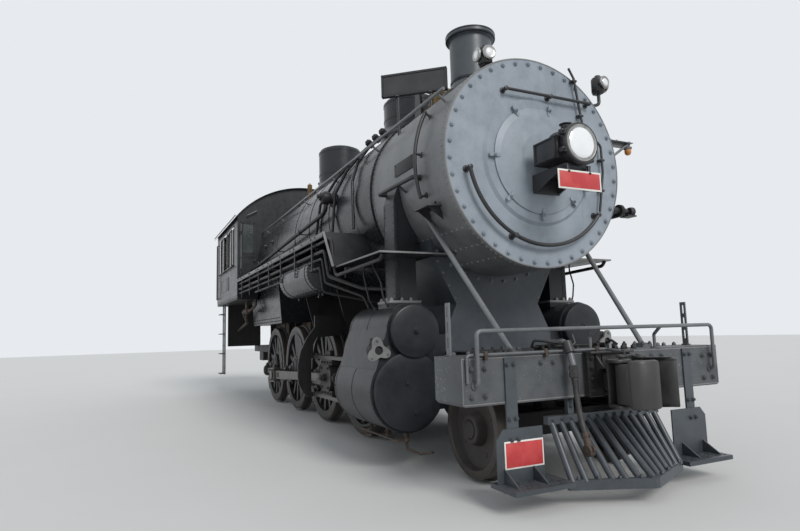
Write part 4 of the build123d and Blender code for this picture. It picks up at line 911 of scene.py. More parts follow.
posts = Work().bolt(grid((bell_x - 0.06, bell_x + 0.06), (-0.2488, 0.2488), 3.99), UP, 0.03, 0.018)
for _, sign in SIDES:
    posts.turned("0 40, 10 38, 14 20", (bell_x, sign * 0.311, 4.4), (0, sign, 0), 20)
posts.keep("bell_stand_fittings", jacket_paint)

# %% [markdown]
# Sand runs from the front dome to the rails through three pipes on each side. Each leaves a trap at the
# dome's foot, follows the curve of the boiler, and goes down in front of its driving wheel. The pipe's
# route is a list of points at a set distance from the boiler.

# %% Sand pipes and the sand dome's lid
sand_dome_x, steam_dome_x = -2.64, -5.68
dome_work = Work().turned("4558 150, 4575 152, 4592 146, 4600 120, 4604 0", (sand_dome_x, 0, 0), UP, 36)
dome_work.block((sand_dome_x - 0.03, -0.165, 4.56), (sand_dome_x + 0.03, -0.14, 4.606), 0.004)
dome_work.pipe([(sand_dome_x + x, 0.1, z) for x, z in mm("-50 4598, -50 4640, 50 4640, 50 4598")], 0.008,
    0.02)
for x in (sand_dome_x, steam_dome_x):
    for place in circle((x, 0, 3.96), 0.461, 20, "xy", 9.0):
        if abs(place.y) < 0.4:
            dome_work.rivet(place, place - Vector((x, 0, 3.96)), 0.012, 0.008)
for x, z in ((sand_dome_x, 4.43), (sand_dome_x, 4.2), (steam_dome_x, 4.64), (steam_dome_x, 4.22)):
    dome_work.turned("0 399.5, 2 405, 34 405, 36 399.5", (x, 0, z), UP, 56)
dome_work.keep("dome_lid_and_bands", jacket_paint)
sanders = Work()
for offset, wheel, ahead_of_wheel in ((0.24, 0, 0.9), (0.0, 1, 0.86), (-0.24, 2, 0.86)):
    x = sand_dome_x + offset
    reach = driver_places[wheel] + ahead_of_wheel - x
    route = [around(118, 1.16, x), around(134, 1.115, x), around(150, 1.115, x + reach * 0.12),
             around(166, 1.115, x + reach * 0.3), Vector((x + reach * 0.42, -1.1, 2.56))]
    sanders.pipe(route, 0.02, 0.12)
    sanders.turned("-30 28, 0 50, 70 50, 100 26", around(118, 1.14, x), outward(140), 18)
    sanders.bolt(around(118, 1.19, x), outward(118), 0.026, 0.016)
sanders.keep("sand_pipes", jacket_paint, both=True)

# %% [markdown]
# Behind the steam dome stand two safety valves and the whistle, on short flanged pipes. They are turned
# pieces with holes and flats too small to show, so rings and waists are enough to read as valves.

# %% Safety valves and whistle
valve_profile = ("0 85, 30 85, 32 55, 100 55, 110 75, 130 78, 150 64, 300 64, 310 74, 330 74, 340 50, "
                 "380 40, 390 16, 420 14, 425 0")
seat = boiler_z + sqrt(boiler_radius ** 2 - 0.17 ** 2) - 0.01
pops = Work().turned(valve_profile, grid(-6.32, (-0.17, 0.17), seat), UP, 28)
for y in (-0.17, 0.17):
    pops.bolt(circle((-6.32, y, seat + 0.03), 0.07, 8, "xy"), UP, 0.014, 0.01)
pops.keep("safety_valves", wheel_iron, slot="boiler_black")
seat = boiler_z + sqrt(boiler_radius ** 2 - 0.3 ** 2) - 0.01
whistle = Work().turned("0 55, 20 55, 22 26, 160 26, 165 45, 190 45, 195 30, 205 30, 208 48, 400 48, 410 40, "
                        "415 12, 440 10, 445 0", (-6.7, -0.3, seat), UP, 24)
whistle.pipe(((-6.7, -0.26, seat + 0.1), (-6.62, -0.2, seat + 0.13), (-6.95, -0.2, seat + 0.16)), 0.008)
whistle.keep("whistle", brass)

# %% [markdown]
# The small steam turbine that makes current for the lamps sits on the firebox ahead of the cab, and the
# turret beside it feeds steam to the gauges and pumps. Both are simple castings with bolted covers.

# %% Turbo generator and steam turret
top_z = boiler_z + boiler_radius
generator = Work().block((-7.42, 0.3, top_z - 0.1), (-7.06, 0.62, top_z + 0.02), 0.008)
generator.turned("0 90, 12 155, 30 165, 150 165, 170 150, 180 115, 340 115, 360 100, 370 40, 390 35",
                 (-7.05, 0.46, top_z + 0.16), BACK, 32)
generator.bolt(circle((-7.062, 0.46, top_z + 0.16), 0.14, 10), AHEAD, 0.018, 0.01)
generator.pipe(((-7.13, 0.46, top_z + 0.3), (-7.13, 0.46, top_z + 0.44)), 0.026)
generator.pipe(((-7.3, 0.46, top_z + 0.27), (-7.3, 0.46, top_z + 0.34), (-7.75, 0.2, top_z + 0.3)), 0.012,
    0.05)
generator.keep("turbo_generator", frame_paint, slot="boiler_black")
turret = Work().turned("0 50, 10 85, 500 85, 510 50", (-7.7, -0.25, top_z + 0.1), LEFT, 28)
turret.pipe(((-7.7, 0.0, top_z - 0.03), (-7.7, 0.0, top_z + 0.08)), 0.06, 0.0, 20)
for y in (-0.18, -0.06, 0.06, 0.18):
    turret.pipe(grid((-7.7, -7.84, -8.03), y, top_z + 0.11), 0.016)
    turret.turned("0 26, 20 30, 50 30, 60 20", (-7.8, y, top_z + 0.11), BACK, 14)
turret.keep("steam_turret", frame_paint, slot="boiler_black")

# %% [markdown]
# The running boards are thin plates with a turned-down edge. The edge is worn bright by boots and hands,
# which draws a light line along the engine, so it gets its own strip. Tread dimples keep the walkway from
# being slippery, and they show from above.

# %% Bright edges of the running boards
edges = Work()
edges.block((cab_front, -1.5035, 2.452), (-2.155, -1.4985, 2.5025), 0.001)
edges.block((cab_front, -1.5035, 2.4985), (-2.155, -1.47, 2.503), 0.001)
normal = Vector((0.45, 0, 0.335)).normalized() * 0.006
edges.rings([[Vector((x, y, z)) - normal * side
    for y, side in ((-1.504, -1), (-1.478, -1), (-1.478, 1), (-1.504, 1))]
             for x, z in mm("-2149 2502, -1812 2046")])
edges.block((-1.822, -1.4535, 2.036), (-0.568, -1.4485, 2.054), 0.001)
edges.block((-0.5715, -1.45, 2.036), (-0.5665, -0.64, 2.054), 0.001)
edges.keep("running_board_edges", worn_edge, both=True, slot="running_gear")
tread = Work()


def dimples(front, first_y, pitch, rows, count, z):
    """Raised marks in rows along a board, every second row moved by half a step."""
    for row, step in product(range(rows), range(count)):
        x, y = front - step * 0.094 - (row % 2) * 0.047, first_y + row * pitch
        tread.rings([[Vector((x + a, y + b, high)) for a, b in mm("-17 -4, 17 -4, 17 4, -17 4")]
                     for high in (z - 0.0005, z + 0.0022)])


dimples(-2.3, -1.44, 0.055, 2, 60, 2.5)
dimples(-0.66, -1.4, 0.06, 3, 12, 2.05)
tread.keep("running_board_tread", worn_edge, both=True, slot="running_gear")

# %% [markdown]
# Four pipes run along under the edge of the board, in hangers, and bend down at the front end over the
# cylinders. They carry air and sand, and they are the busiest lines on the engine's side. Each is a route
# with rounded corners. The hangers are strips bolted to the edge of the board.

# %% Pipes under the running boards
board_pipes = Work()
board_pipes.pipe("-7980 -1452 2400, -1980 -1452 2400, -1920 -1452 2170, -1860 -1440 1945, "
                 "-660 -1400 1985, -620 -1400 2035", 0.02, 0.1)
board_pipes.pipe("-7980 -1462 2286, -2200 -1462 2286, -2080 -1450 1960, -1550 -1240 1780, "
                 "-1200 -1020 1740", 0.022, 0.1)
board_pipes.pipe("-7980 -1455 2203, -2320 -1455 2203, -2240 -1440 1900, -1720 -1160 1700, "
                 "-1700 -1100 1550", 0.016, 0.08)
board_pipes.pipe("-6400 -1445 2107, -2440 -1445 2107, -2400 -1420 1800, -2120 -620 1620, "
                 "-2080 -580 1500", 0.016, 0.08)
board_pipes.keep("running_board_pipes", frame_paint, both=True)
places = tuple(-2.62 - step * 0.82 for step in range(7))
hangers = Work().bolt(grid(places, -1.5035, 2.476), RIGHT, 0.022, 0.012)
hangers.bolt(grid(tuple(-2.45 - step * 0.6 for step in range(10)), -1.5035, 2.476), RIGHT, 0.018, 0.01)
for x in places:
    hangers.block((x - 0.02, -1.4985, 2.075), (x + 0.02, -1.4885, 2.452), 0.002)
    for z in (2.4, 2.286, 2.203, 2.107)[:4 if x > -6.4 else 3]:
        hangers.block((x - 0.02, -1.49, z - 0.031), (x + 0.02, -1.437, z - 0.024), 0.001)
        hangers.block((x - 0.02, -1.49, z + 0.024), (x + 0.02, -1.437, z + 0.031), 0.001)
hangers.keep("running_board_pipe_hangers", frame_paint, both=True)

# %% [markdown]
# The air tanks hang under the boards in iron straps, with a row of rivets around each end and a drain
# cock at the lowest point.

# %% Straps and cocks of the air tanks
tank_work = Work()
for side, front, back in ((-1, -2.8, -4.5), (1, -4.25, -6.35)):
    y, cock_x = side * 1.215, front - 0.4
    for x in (back + 0.26, front - 0.26):
        tank_work.turned("-30 261.5, -29 268, 29 268, 30 261.5", (x, y, 2.105), AHEAD, 56)
        tank_work.bolt((x, y, 1.838), DOWN, 0.026, 0.03)
    for x in (front - 0.125, back + 0.125):
        tank_work.barrel_rivets([360 / 34 * step for step in range(34)], 0.2615, x, 0.009, 0.006, z=2.105,
            y=y)
    tank_work.pipe(((cock_x, y, 1.85), (cock_x, y, 1.79)), 0.014)
    tank_work.turned("-20 16, 20 16", (cock_x, y, 1.8), LEFT, 12)
    for end, sign in ((front, 1), (back, -1)):
        tank_work.turned("0 50, 14 45, 16 30, 34 28", (end - sign * 0.004, y, 2.105), (sign, 0, 0), 16)
    tank_work.pipe(((front + 0.02, y, 2.105), (front + 0.09, y, 2.105), (front + 0.11, y + side * 0.05, 2.3),
                    (front + 0.11, y + side * 0.19, 2.4)), 0.016, 0.05)
tank_work.keep("air_tank_fittings", jacket_paint)

# %% [markdown]
# The air pump hangs on the left of the boiler, with the steam cylinder above the air cylinder. Cooling
# ribs, bolted flanges, tie rods between the two, and its pipes turn two plain drums into a pump.

# %% Fittings of the air pump
pump_x, pump_y = -3.95, 1.29
pump = Work()
for step in range(9):
    pump.turned("0 164.5, 3 178, 10 178, 13 164.5", (pump_x, pump_y, 1.53 + step * 0.038), UP, 40)
for z, height, radius, bolt_z, turn in ((1.482, 0.03, 0.18, 1.482, -1), (1.868, 0.032, 0.18, 1.9, 1),
                                        (2.01, 0.028, 0.166, 2.01, -1), (2.342, 0.03, 0.166, 2.372, 1)):
    pump.turned(((0, 0.12), (0.001, radius), (height, radius), (height + 0.001, 0.12)), (pump_x, pump_y, z),
        UP, 40)
    pump.bolt(circle((pump_x, pump_y, bolt_z), radius - 0.022, 10, "xy", 18.0), (0, 0, turn), 0.018, 0.012)
for low, high in zip(*(circle((pump_x, pump_y, z), 0.125, 4, "xy", 45.0) for z in (1.895, 2.015))):
    pump.pipe((low, high), 0.014)
pump.turned("2372 70, 2375 100, 2400 100, 2410 60, 2440 50, 2450 0", (pump_x, pump_y, 0), UP, 28)
pump.pipe(((pump_x + 0.12, pump_y, 2.2), (pump_x + 0.26, pump_y, 2.2), (pump_x + 0.3, pump_y - 0.05, 2.475)),
    0.022, 0.08)
pump.pipe(((pump_x - 0.13, pump_y, 1.75), (pump_x - 0.26, pump_y, 1.75), (pump_x - 0.28, pump_y, 2.02)),
    0.024, 0.08)
pump.keep("air_pump_fittings", frame_paint)

# %% [markdown]
# Water enters the boiler through a check valve on each side, a globe with a flange near the front of the
# barrel. Its pipe runs back under the handrail to the cab. The jacket has narrow seams between its bands,
# with a row of small screws on each band.

# %% Check valves, feed pipes and jacket screws
spot, out = around(168, boiler_radius, -3.05), outward(168)
checks = Work().turned("-20 100, 20 100, 24 60, 60 60, 75 85, 120 98, 170 85, 190 55, 215 55, 220 30, "
                       "250 26, 253 0",
                       spot, out, 28)
for flat in circle((0, 0, 0), 0.082, 8, "xy"):
    checks.bolt(spot + out * 0.02 + Vector(AHEAD) * flat.x + outward(78) * flat.y, out, 0.018, 0.012)
checks.pipe("-3050 -1162 3140, -3050 -1162 2980, -3200 -1162 2940, -8040 -1190 2700", 0.03, 0.09, 16)
for x in (-4.3, -5.7, -7.1):
    z = 2.94 - (-3.2 - x) / 4.84 * 0.24
    checks.block((x - 0.02, -1.2, z - 0.045), (x + 0.02, -1.02, z - 0.034), 0.002)
    checks.block((x - 0.02, -1.208, z - 0.045), (x + 0.02, -1.196, z + 0.036), 0.002)
checks.keep("boiler_check_valves", frame_paint, both=True, slot="boiler_black")
screws = Work()
for place in (0.03, 1.55, 2.51, 3.35, 4.67):
    angles = [-30 + step * 240 / 35 for step in range(36)]
    screws.barrel_rivets(angles, boiler_radius + 0.0055, smokebox_back - place, 0.007, 0.004)
for x in (-2.26, -4.76, -7.2):
    screws.strap(x, 0.02, (boiler_radius + 0.0022, boiler_radius + 0.0002), -28, 208, 90)
for x in (-6.62, -6.86, -7.1, -7.34, -7.58, -7.82):
    for angle in [196 - step * 6.5 for step in range(9)]:
        screws.barrel_rivets((angle, 180 - angle), boiler_radius - 0.0005, x, 0.01, 0.006)
screws.keep("boiler_jacket_screws", jacket_paint)
washouts = Work()
for x, angle in product((-6.75, -7.35, -8.7), (12, 168)):
    washouts.turned("-10 60, 12 60, 16 35, 30 33, 32 22, 50 20", around(angle, boiler_radius, x),
        outward(angle), 24)
washouts.keep("washout_plugs", jacket_paint)

# %% [markdown]
# The covers on the front of the cylinder and the valve chest are smooth pressed plates over the real
# heads. Each has a rolled edge, and a nut or a square plug near its middle. At the back, a ring of studs
# holds the head.

# %% Cylinder and valve covers
front_x, valve_front, back_x = -0.691, -0.661, -1.786
covers = Work()
covers.turned("-12 365.5, -8 372, 2 366.5, 6 350, 10 250, 12 0", (front_x, -cylinder_y, cylinder_z), AHEAD,
    72)
covers.turned("-14 254.5, -8 260, 3 254, 8 240, 12 150, 13 0", (valve_front, -valve_y, valve_z), AHEAD, 64)
covers.turned("0 38, 8 36, 10 24", (valve_front + 0.012, -valve_y, valve_z), AHEAD, 20)
covers.bolt((valve_front + 0.02, -valve_y, valve_z), AHEAD, 0.038, 0.024)
covers.turned("0 30, 6 28", (front_x + 0.011, -cylinder_y - 0.03, 0.8), AHEAD, 20)
covers.block((front_x + 0.012, -cylinder_y - 0.042, 0.788), (front_x + 0.034, -cylinder_y - 0.018, 0.812),
    0.003)
covers.turned("0 26, 14 22, 16 12", (front_x + 0.009, -cylinder_y + 0.06, 0.52), AHEAD, 16)
covers.bolt(circle((back_x, -cylinder_y, cylinder_z), 0.33, 14), BACK, 0.036, 0.024)
covers.bolt(circle((back_x - 0.02, -valve_y, valve_z), 0.225, 14), BACK, 0.026, 0.018)
covers.keep("cylinder_covers", cylinder_paint, both=True)

# %% [markdown]
# The jacket of the cylinder is sheet iron in panels: strips of it show as narrow bands around both ends,
# held by screws. Oil pipes come down to the valve chest and the barrel.

# %% Cylinder bands, screws and oil pipes
jackets = Work()
for x in (-0.742, -1.245, -1.735):
    for y, z, radius, first, last in ((-cylinder_y, cylinder_z, 0.392, 386, 146),
        (-valve_y, valve_z, 0.275, 180, -6)):
        angles = jackets.strap(x, 0.014, (radius + 0.003, radius - 0.001), first, last, 60, z, y)
        jackets.barrel_rivets(angles[4:-3:6], radius + 0.0025, x, 0.006, 0.004, z=z, y=y)
jackets.pipe("-1000 -1200 1555, -1000 -1240 1660, -1000 -1260 1800, -1100 -1300 1980, -1100 -1300 2040",
    0.009, 0.05)
jackets.pipe("-1320 -1200 1540, -1320 -1260 1640, -1360 -1300 1900, -1360 -1300 2040", 0.009, 0.05)
jackets.bolt([(-1.0, -1.19, 1.545), (-1.32, -1.19, 1.532)], (0, -0.35, 0.94), 0.03, 0.024)
jackets.keep("cylinder_bands_and_oil_pipes", cylinder_paint, both=True)

# %% [markdown]
# A relief valve stands out from the side between the valve chest and the cylinder: a cast elbow with a
# bright, worn flange, whose dark mouth faces forward. It is turned in three directions about its elbow.

# %% Relief valves
elbow_place = Vector((-0.8, -1.43, 1.12))
valve_work = Work().turned("-130 85, -100 85, -80 62, 0 60, 15 50", elbow_place, RIGHT, 24)
valve_work.turned("-50 50, -40 70, 50 70, 65 64, 95 64", elbow_place, AHEAD, 24)
valve_work.turned("-62 52, 50 60, 80 46, 112 44, 116 20", elbow_place, UP, 20)
valve_work.block(elbow_place + Vector((-0.05, 0.06, -0.1)), elbow_place + Vector((0.05, 0.17, 0.1)), 0.012)
valve_work.keep("relief_valve_bodies", frame_paint, both=True, slot="cylinder_grey")


def flange_ring(along, inner, wave):
    """A ring with three corners: wave is how far the corners stand out."""
    turns = [2 * pi * i / 48 for i in range(48)]
    reach = [inner + wave * cos(3 * (t - radians(100))) for t in turns]
    return [elbow_place + Vector((0.09 + along, r * cos(t), r * sin(t))) for t, r in zip(turns, reach)]


flange_work = Work().rings([flange_ring(*row) for row in
                            mm("0 42 0, 0 98 30, 20 98 30, 24 95 29, 24 42 0, 0 42 0")], close_ends=False)
flange_work.bolt(circle(elbow_place + Vector((0.112, 0, 0)), 0.096, 3, first=100.0), AHEAD, 0.026, 0.016)
flange_work.keep("relief_valve_flanges", worn_edge, both=True, slot="trim_grey")

# %% [markdown]
# Water that collects in the cylinder leaves through cocks at its lowest points. Thin pipes carry it
# forward and down, and a rod along the side opens all of the cocks together.

# %% Drain cocks and their pipes
drains = Work()
drains.turned("0 40, 12 40, 14 24, 60 22, 62 34, 95 34, 100 16, 140 14",
              grid((-0.8, -1.236, -1.68), -cylinder_y, 0.335), DOWN, 18)
for x in (-0.8, -1.236, -1.68):
    drains.pipe(grid(x, (-cylinder_y - 0.03, -cylinder_y - 0.12), 0.262), 0.01)
drains.pipe(grid((-1.75, -0.72), -cylinder_y - 0.12, 0.262), 0.01)
drains.pipe(((-0.8, -cylinder_y, 0.21), (-0.8, -cylinder_y, 0.175), (-0.55, -cylinder_y + 0.02, 0.165),
             (-0.34, -cylinder_y + 0.04, 0.21)), 0.013, 0.04)
drains.pipe(((-1.68, -cylinder_y, 0.21), (-1.68, -cylinder_y, 0.17), (-1.85, -cylinder_y, 0.15)), 0.013, 0.03)
drains.keep("cylinder_drain_cocks", rusty_iron, both=True)

# %% [markdown]
# The steam pipe reaches the valve chest inside a tall casing, whose foot is a thick flange. The flange's
# face is bare metal and the nuts on it are large. The casing itself is made of plates with a narrow lap
# along its front edge.

# %% Flanges of the steam pipes
bases = Work().block((-1.238, -1.188, 1.527), (-0.942, -0.843, 1.581), 0.004)
bases.keep("steam_pipe_seats", cylinder_paint, both=True)
seats = Work().block((-1.245, -1.195, 1.58), (-0.935, -0.836, 1.606), 0.004)
seats.bolt(grid((-1.215, -1.09, -0.965), -1.16, 1.606), UP, 0.034, 0.026)
seats.bolt(grid((-1.227, -0.953), (-1.05, -0.95), 1.606), UP, 0.03, 0.024)
seats.keep("steam_pipe_flanges", worn_edge, both=True, slot="cylinder_grey")
heights = tuple(1.68 + step * 0.082 for step in range(12))
laps = Work().rivet(grid(-0.9665, -1.085, heights), AHEAD, 0.008, 0.006)
laps.rivet(grid((-1.0, -1.18), -1.1095, heights), RIGHT, 0.008, 0.006)
for x in (-0.972, -1.214):
    laps.block((x, -1.1135, 1.61), (x + 0.006, -1.06, 2.64), 0.001)
laps.keep("steam_pipe_casing_laps", cylinder_paint, both=True)
saddle_face = -0.7665
saddle_work = Work().bolt(grid(saddle_face, (-0.42, -0.25, 0.25, 0.42), (1.02, 0.66)), AHEAD, 0.036, 0.022)
for z in (1.62, 1.75, 1.88, 2.0):
    edge_y = 0.5 + (z - 1.56) * 0.5
    saddle_work.rivet(grid(saddle_face, (-edge_y, edge_y), z), AHEAD, 0.016, 0.01)
for y in (-0.73 + step * 0.162 for step in range(10)):
    depth = sqrt(smokebox_radius ** 2 - y ** 2)
    saddle_work.bolt((saddle_face, y, boiler_z - depth - 0.055), AHEAD, 0.032, 0.02)
saddle_work.keep("saddle_bolts", side_paint)

# %% [markdown]
# The rods and crossheads get the small work that a fitter sees: oil cups with lids, the wedge and its bolts
# at the big end, bushings in the eyes, and nuts on the wrist pin. Every fitting rides on the body that
# carries it, so it moves with the rod or the wheel.

# %% Places of the crank pins
def crank_pin(wheel, side):
    """The centre of a crank pin, on the outer face of the wheel."""
    turn = radians(crank_angles[side])
    return Vector((driver_places[wheel] + crank_radius * cos(turn), 0,
        driver_radius + crank_radius * sin(turn)))


def wrist_pin(side):
    pin = crank_pin(2, side)
    drop = pin.z - driver_radius
    return Vector((pin.x + sqrt(3.225 ** 2 - drop ** 2), 0, driver_radius))


def oil_cup(work, place, size=1.0):
    work.turned(((0, 0.02 * size), (0.006, 0.026 * size), (0.034 * size, 0.026 * size),
        (0.038 * size, 0.018 * size),
                 (0.048 * size, 0.014 * size), (0.05 * size, 0.0)), place, UP, 18)


print("wrist pins at", [round(wrist_pin(side).x, 3) for side, _ in SIDES])

# %% Side rod fittings
for side, sign in SIDES:
    rod, out = Work(), (0, sign, 0)
    for wheel in range(4):
        pin = crank_pin(wheel, side)
        rod.turned("0 78, 1 94, 9 94, 10 84", (pin.x, sign * 0.9402, pin.z), out, 32)
        oil_cup(rod, (pin.x, sign * 0.904, pin.z + 0.108))
        if wheel < 3:
            middle = (pin.x + crank_pin(wheel + 1, side).x) / 2
            for low, high in ((-0.04, -0.026), (0.026, 0.04)):
                rod.block((middle - 0.58, sign * 0.9275 - 0.003, pin.z + low),
                          (middle + 0.58, sign * 0.9275 + 0.003, pin.z + high), 0.002)
        if wheel in (1, 2):
            rod.turned("0 30, 6 30, 8 22", grid((pin.x - 0.17, pin.x + 0.17), sign * 0.928, pin.z), out, 20)
    rod.keep(side + "_side_rod_fittings", rod_steel, side + "_side_rods")

# %% [markdown]
# The main rod lies at the angle that its crank gives it. Its fittings are placed by two directions, along
# the rod and across it.

# %% Main rod and crosshead fittings
for side, sign in SIDES:
    pin, wrist = crank_pin(2, side), wrist_pin(side)
    swing = atan2(wrist.z - pin.z, wrist.x - pin.x)
    along = Vector((cos(swing), 0, sin(swing)))
    above = Vector((-sin(swing), 0, cos(swing)))
    out, face_y = (0, sign, 0), sign * (cylinder_y + 0.055)
    rod = Work()
    for a, b in product((-0.1, 0.02, 0.12), (-0.085, 0.085)):
        place = pin + along * a + above * b
        rod.bolt((place.x, face_y, place.z), out, 0.034, 0.022)
    wedge = [pin + along * a + above * b for a, b in mm("135 -118, 165 -118, 155 118, 125 118")]
    rod.rings([[Vector((p.x, face_y + d * sign, p.z)) for p in wedge] for d in (-0.004, 0.008)])
    rod.turned("0 76, 4 86, 12 86, 14 30, 16 0", (pin.x, sign * (cylinder_y + 0.0655), pin.z), out, 36)
    rod_line = Vector((0, sign * cylinder_y, 0))
    oil_cup(rod, pin + above * 0.124 + rod_line, 1.3)
    oil_cup(rod, wrist + above * 0.09 + rod_line - along * 0.02, 0.9)
    rod.keep(side + "_main_rod_fittings", rod_steel, side + "_main_rod")
    head, x, y = Work(), wrist.x, sign * cylinder_y
    head.turned("0 46, 1 62, 12 62, 14 46", (x, y + sign * 0.113, wrist.z), out, 28)
    head.bolt((x, y + sign * 0.126, wrist.z), out, 0.07, 0.03)
    head.bolt(grid((x - 0.17, x - 0.06, x + 0.06, x + 0.17), y + sign * 0.062, (0.524, 0.924)), out, 0.026,
        0.016)
    head.bolt(grid((x - 0.13, x + 0.13), y + sign * 0.084, (0.599, 0.849)), out, 0.03, 0.018)
    head.turned("0 75, 50 70, 55 49", (x + 0.228, y, cylinder_z), AHEAD, 28)
    head.block((x + 0.15, y - 0.012, 0.6), (x + 0.185, y + 0.012, 0.85), 0.003)
    head.keep(side + "_crosshead_fittings", wheel_iron, side + "_crosshead")

# %% [markdown]
# The guides are two polished bars between the cylinder's back head and the yoke. Bolts hold their ends,
# and two oil boxes sit on the upper bar.

# %% Guide bolts and oil boxes
guide_work = Work()
for z, turn in ((1.004, 1), (0.444, -1)):
    guide_work.bolt(grid((-1.84, -1.9, -3.56, -3.62), (-cylinder_y - 0.03, -cylinder_y + 0.03), z),
        (0, 0, turn),
                    0.028, 0.02)
for x in (-2.35, -3.1):
    guide_work.block((x - 0.1, -cylinder_y - 0.03, 1.004), (x + 0.1, -cylinder_y + 0.03, 1.064), 0.006)
    guide_work.block((x - 0.104, -cylinder_y - 0.034, 1.064), (x + 0.104, -cylinder_y + 0.034, 1.072), 0.003)
guide_work.keep("guide_bolts_and_oil_boxes", wheel_iron, both=True)
yoke_work = Work().bolt(grid(-3.661, (-0.56, -0.66), (1.14, 1.3, 1.46)), AHEAD, 0.034, 0.022)
yoke_work.bolt(grid(-3.661, -1.34, (0.56, 0.8, 0.98)), AHEAD, 0.024, 0.014)
yoke_work.keep("guide_yoke_bolts", frame_paint, both=True)

# %% [markdown]
# A driving wheel is an iron casting with a steel tyre shrunk on. The tyre's outer face is paler than the
# spokes, its tread is brown with rust, and the centre has a boss with the axle's end in it. The pins have
# caps, and the counterweight has the round plugs of its lead.

# %% Tyres, hubs and pin caps of the driving wheels
tyre_steel = weathered("tyre_steel", "running_gear", (0.05, 0.043, 0.038), (0.1, 0.085, 0.072), 0.2, 0.2, 0.5,
    0.45,
                       0.4, 0.3)
hub_face = 0.6765 + 0.14


def tyre(profile, x, y, z, sign, steps):
    return [circle((x, y + depth * sign, z), radius, steps, "xz") for radius, depth in mm(profile)]


for number, x in enumerate(driver_places):
    tyres, caps = Work(), Work()
    for side, sign in SIDES:
        outer, out, pin_y = hub_face * sign, (0, sign, 0), sign * 0.966
        tyres.rings(tyre("650 -4, 652 2.5, 712 2.5, 722.5 -4, 724.5 -20, 725.2 -100, 723.5 -106, 723.5 -20, "
                         "712 -4, 660 -4", x, outer, driver_radius, sign, 96), close_ends=False)
        hub = (x, outer + 0.0185 * sign, driver_radius)
        caps.turned("0 155, 12 150, 14 118, 4 112, 4 40, 0 0", hub, out, 40)
        pin = crank_pin(number, side)
        if number != 2:
            caps.bolt(circle((pin.x, pin_y, pin.z), 0.05, 6, "xz"), out, 0.018, 0.01)
            caps.turned("0 34, 10 32, 12 0", (pin.x, pin_y, pin.z), out, 20)
        opposite = radians(crank_angles[side] + 180)
        for turn in (opposite - 0.28, opposite, opposite + 0.28):
            plug = (x + 0.52 * cos(turn), sign * 0.8262, driver_radius + 0.52 * sin(turn))
            caps.turned("0 46, 5 44, 6 0", plug, out, 24)
    body = f"driver_axle_{number + 1}"
    tyres.keep(f"driving_tyres_{number + 1}", tyre_steel, body)
    caps.keep(f"driving_wheel_caps_{number + 1}", wheel_iron, body)

# %% [markdown]
# The leading wheels are solid discs. Their dished faces have a turned hub with the axle's end and a ring
# of round plugs, and a tyre that is the same steel as the driving wheels'.

# %% Leading wheels
lead_x, lead_radius = -0.1, 0.419
lead_work, lead_tyres = Work(), Work()
for _, sign in SIDES:
    out = (0, sign, 0)
    lead_work.turned("-4 128, 10 120, 12 88, 2 80, 2 78, 16 74, 18 0",
        (lead_x, sign * (hub_face + 0.01), lead_radius),
                     out, 40)
    lead_work.turned("-4 28, 6 24, 8 10", circle((lead_x, sign * 0.7575, lead_radius), 0.24, 4, "xz", 30.0),
        out, 18)
    lead_tyres.rings(tyre("349 -6, 351 2.5, 407 2.5, 417.5 -4, 419.5 -20, 420.2 -100, 418.5 -106, 418.5 -20, "
                          "407 -4, 360 -4", lead_x, sign * hub_face, lead_radius, sign, 80), close_ends=False)
lead_work.keep("leading_wheel_hubs", brown_wheel, "lead_axle")
lead_tyres.keep("leading_wheel_tyres", tyre_steel, "lead_axle")

# %% [markdown]
# The beam across the front is a steel casting in pale grey paint; its colour here is darkened by painted
# shade, as though the beam stood in shade. Bolts go through its face, and washers, nuts and the flanged feet
# of the braces and rails stand on its top. The weld beads and chipped paint give it its speckled look.

# %% Bolts and feet on the beam
beam_face, beam_top = 0.698, 1.087
beam_work = Work().bolt(grid(beam_face, (-1.3, -1.18, 1.18, 1.3), (0.8, 1.0)), AHEAD, 0.038, 0.024)
beam_work.bolt(grid(beam_face, (-0.66, -0.54, 0.54, 0.66), 1.02), AHEAD, 0.034, 0.022)
beam_work.bolt(grid((0.385, 0.475), (-0.785, -0.695, 0.695, 0.785), 1.112), UP, 0.03, 0.022)
beam_work.turned("0 50, 12 48, 16 30", grid(0.43, (-0.74, 0.74), 1.112), UP, 20)
beam_work.bolt(grid(0.36, (-1.24, -1.1, -1.02, 1.02, 1.1, 1.24), beam_top), UP, 0.034, 0.024)
beam_work.turned("0 36, 10 34, 12 18", grid(beam_face, (-1.27, 1.27), 0.88), AHEAD, 20)
for y in (-1.32, 1.32):
    beam_work.block((0.395, y - 0.022, beam_top), (0.465, y + 0.022, 1.098), 0.002)
beam_work.turned("0 38, 12 36, 14 16", grid(0.673, (-0.12, 0.62), beam_top), UP, 20)
beam_work.turned("0 46, 12 44, 14 26", (0.498, -0.42, beam_top), UP, 20)
# The bolts and feet share the beam's grey, darkened with painted shade.
beam_work.keep("beam_bolts_and_feet", beam_paint_with_painted_shade)
seams = Work()
for z in (0.742, 1.073):
    seams.block((0.6965, -1.372, z - 0.004), (0.7005, 1.372, z + 0.004), 0.001)
for y in (-1.372, 1.372):
    seams.block((0.6965, y - 0.004, 0.742), (0.7005, y + 0.004, 1.073), 0.001)
seams.keep("beam_weld_seams", worn_edge, slot="beam_grey")

# %% [markdown]
# The deck behind the beam's edge is crowded: tall studs with nuts, the lugs of old draft gear, and a lever
# with its rod to the angle cock. They are dark, and stand a hand's breadth high at most.

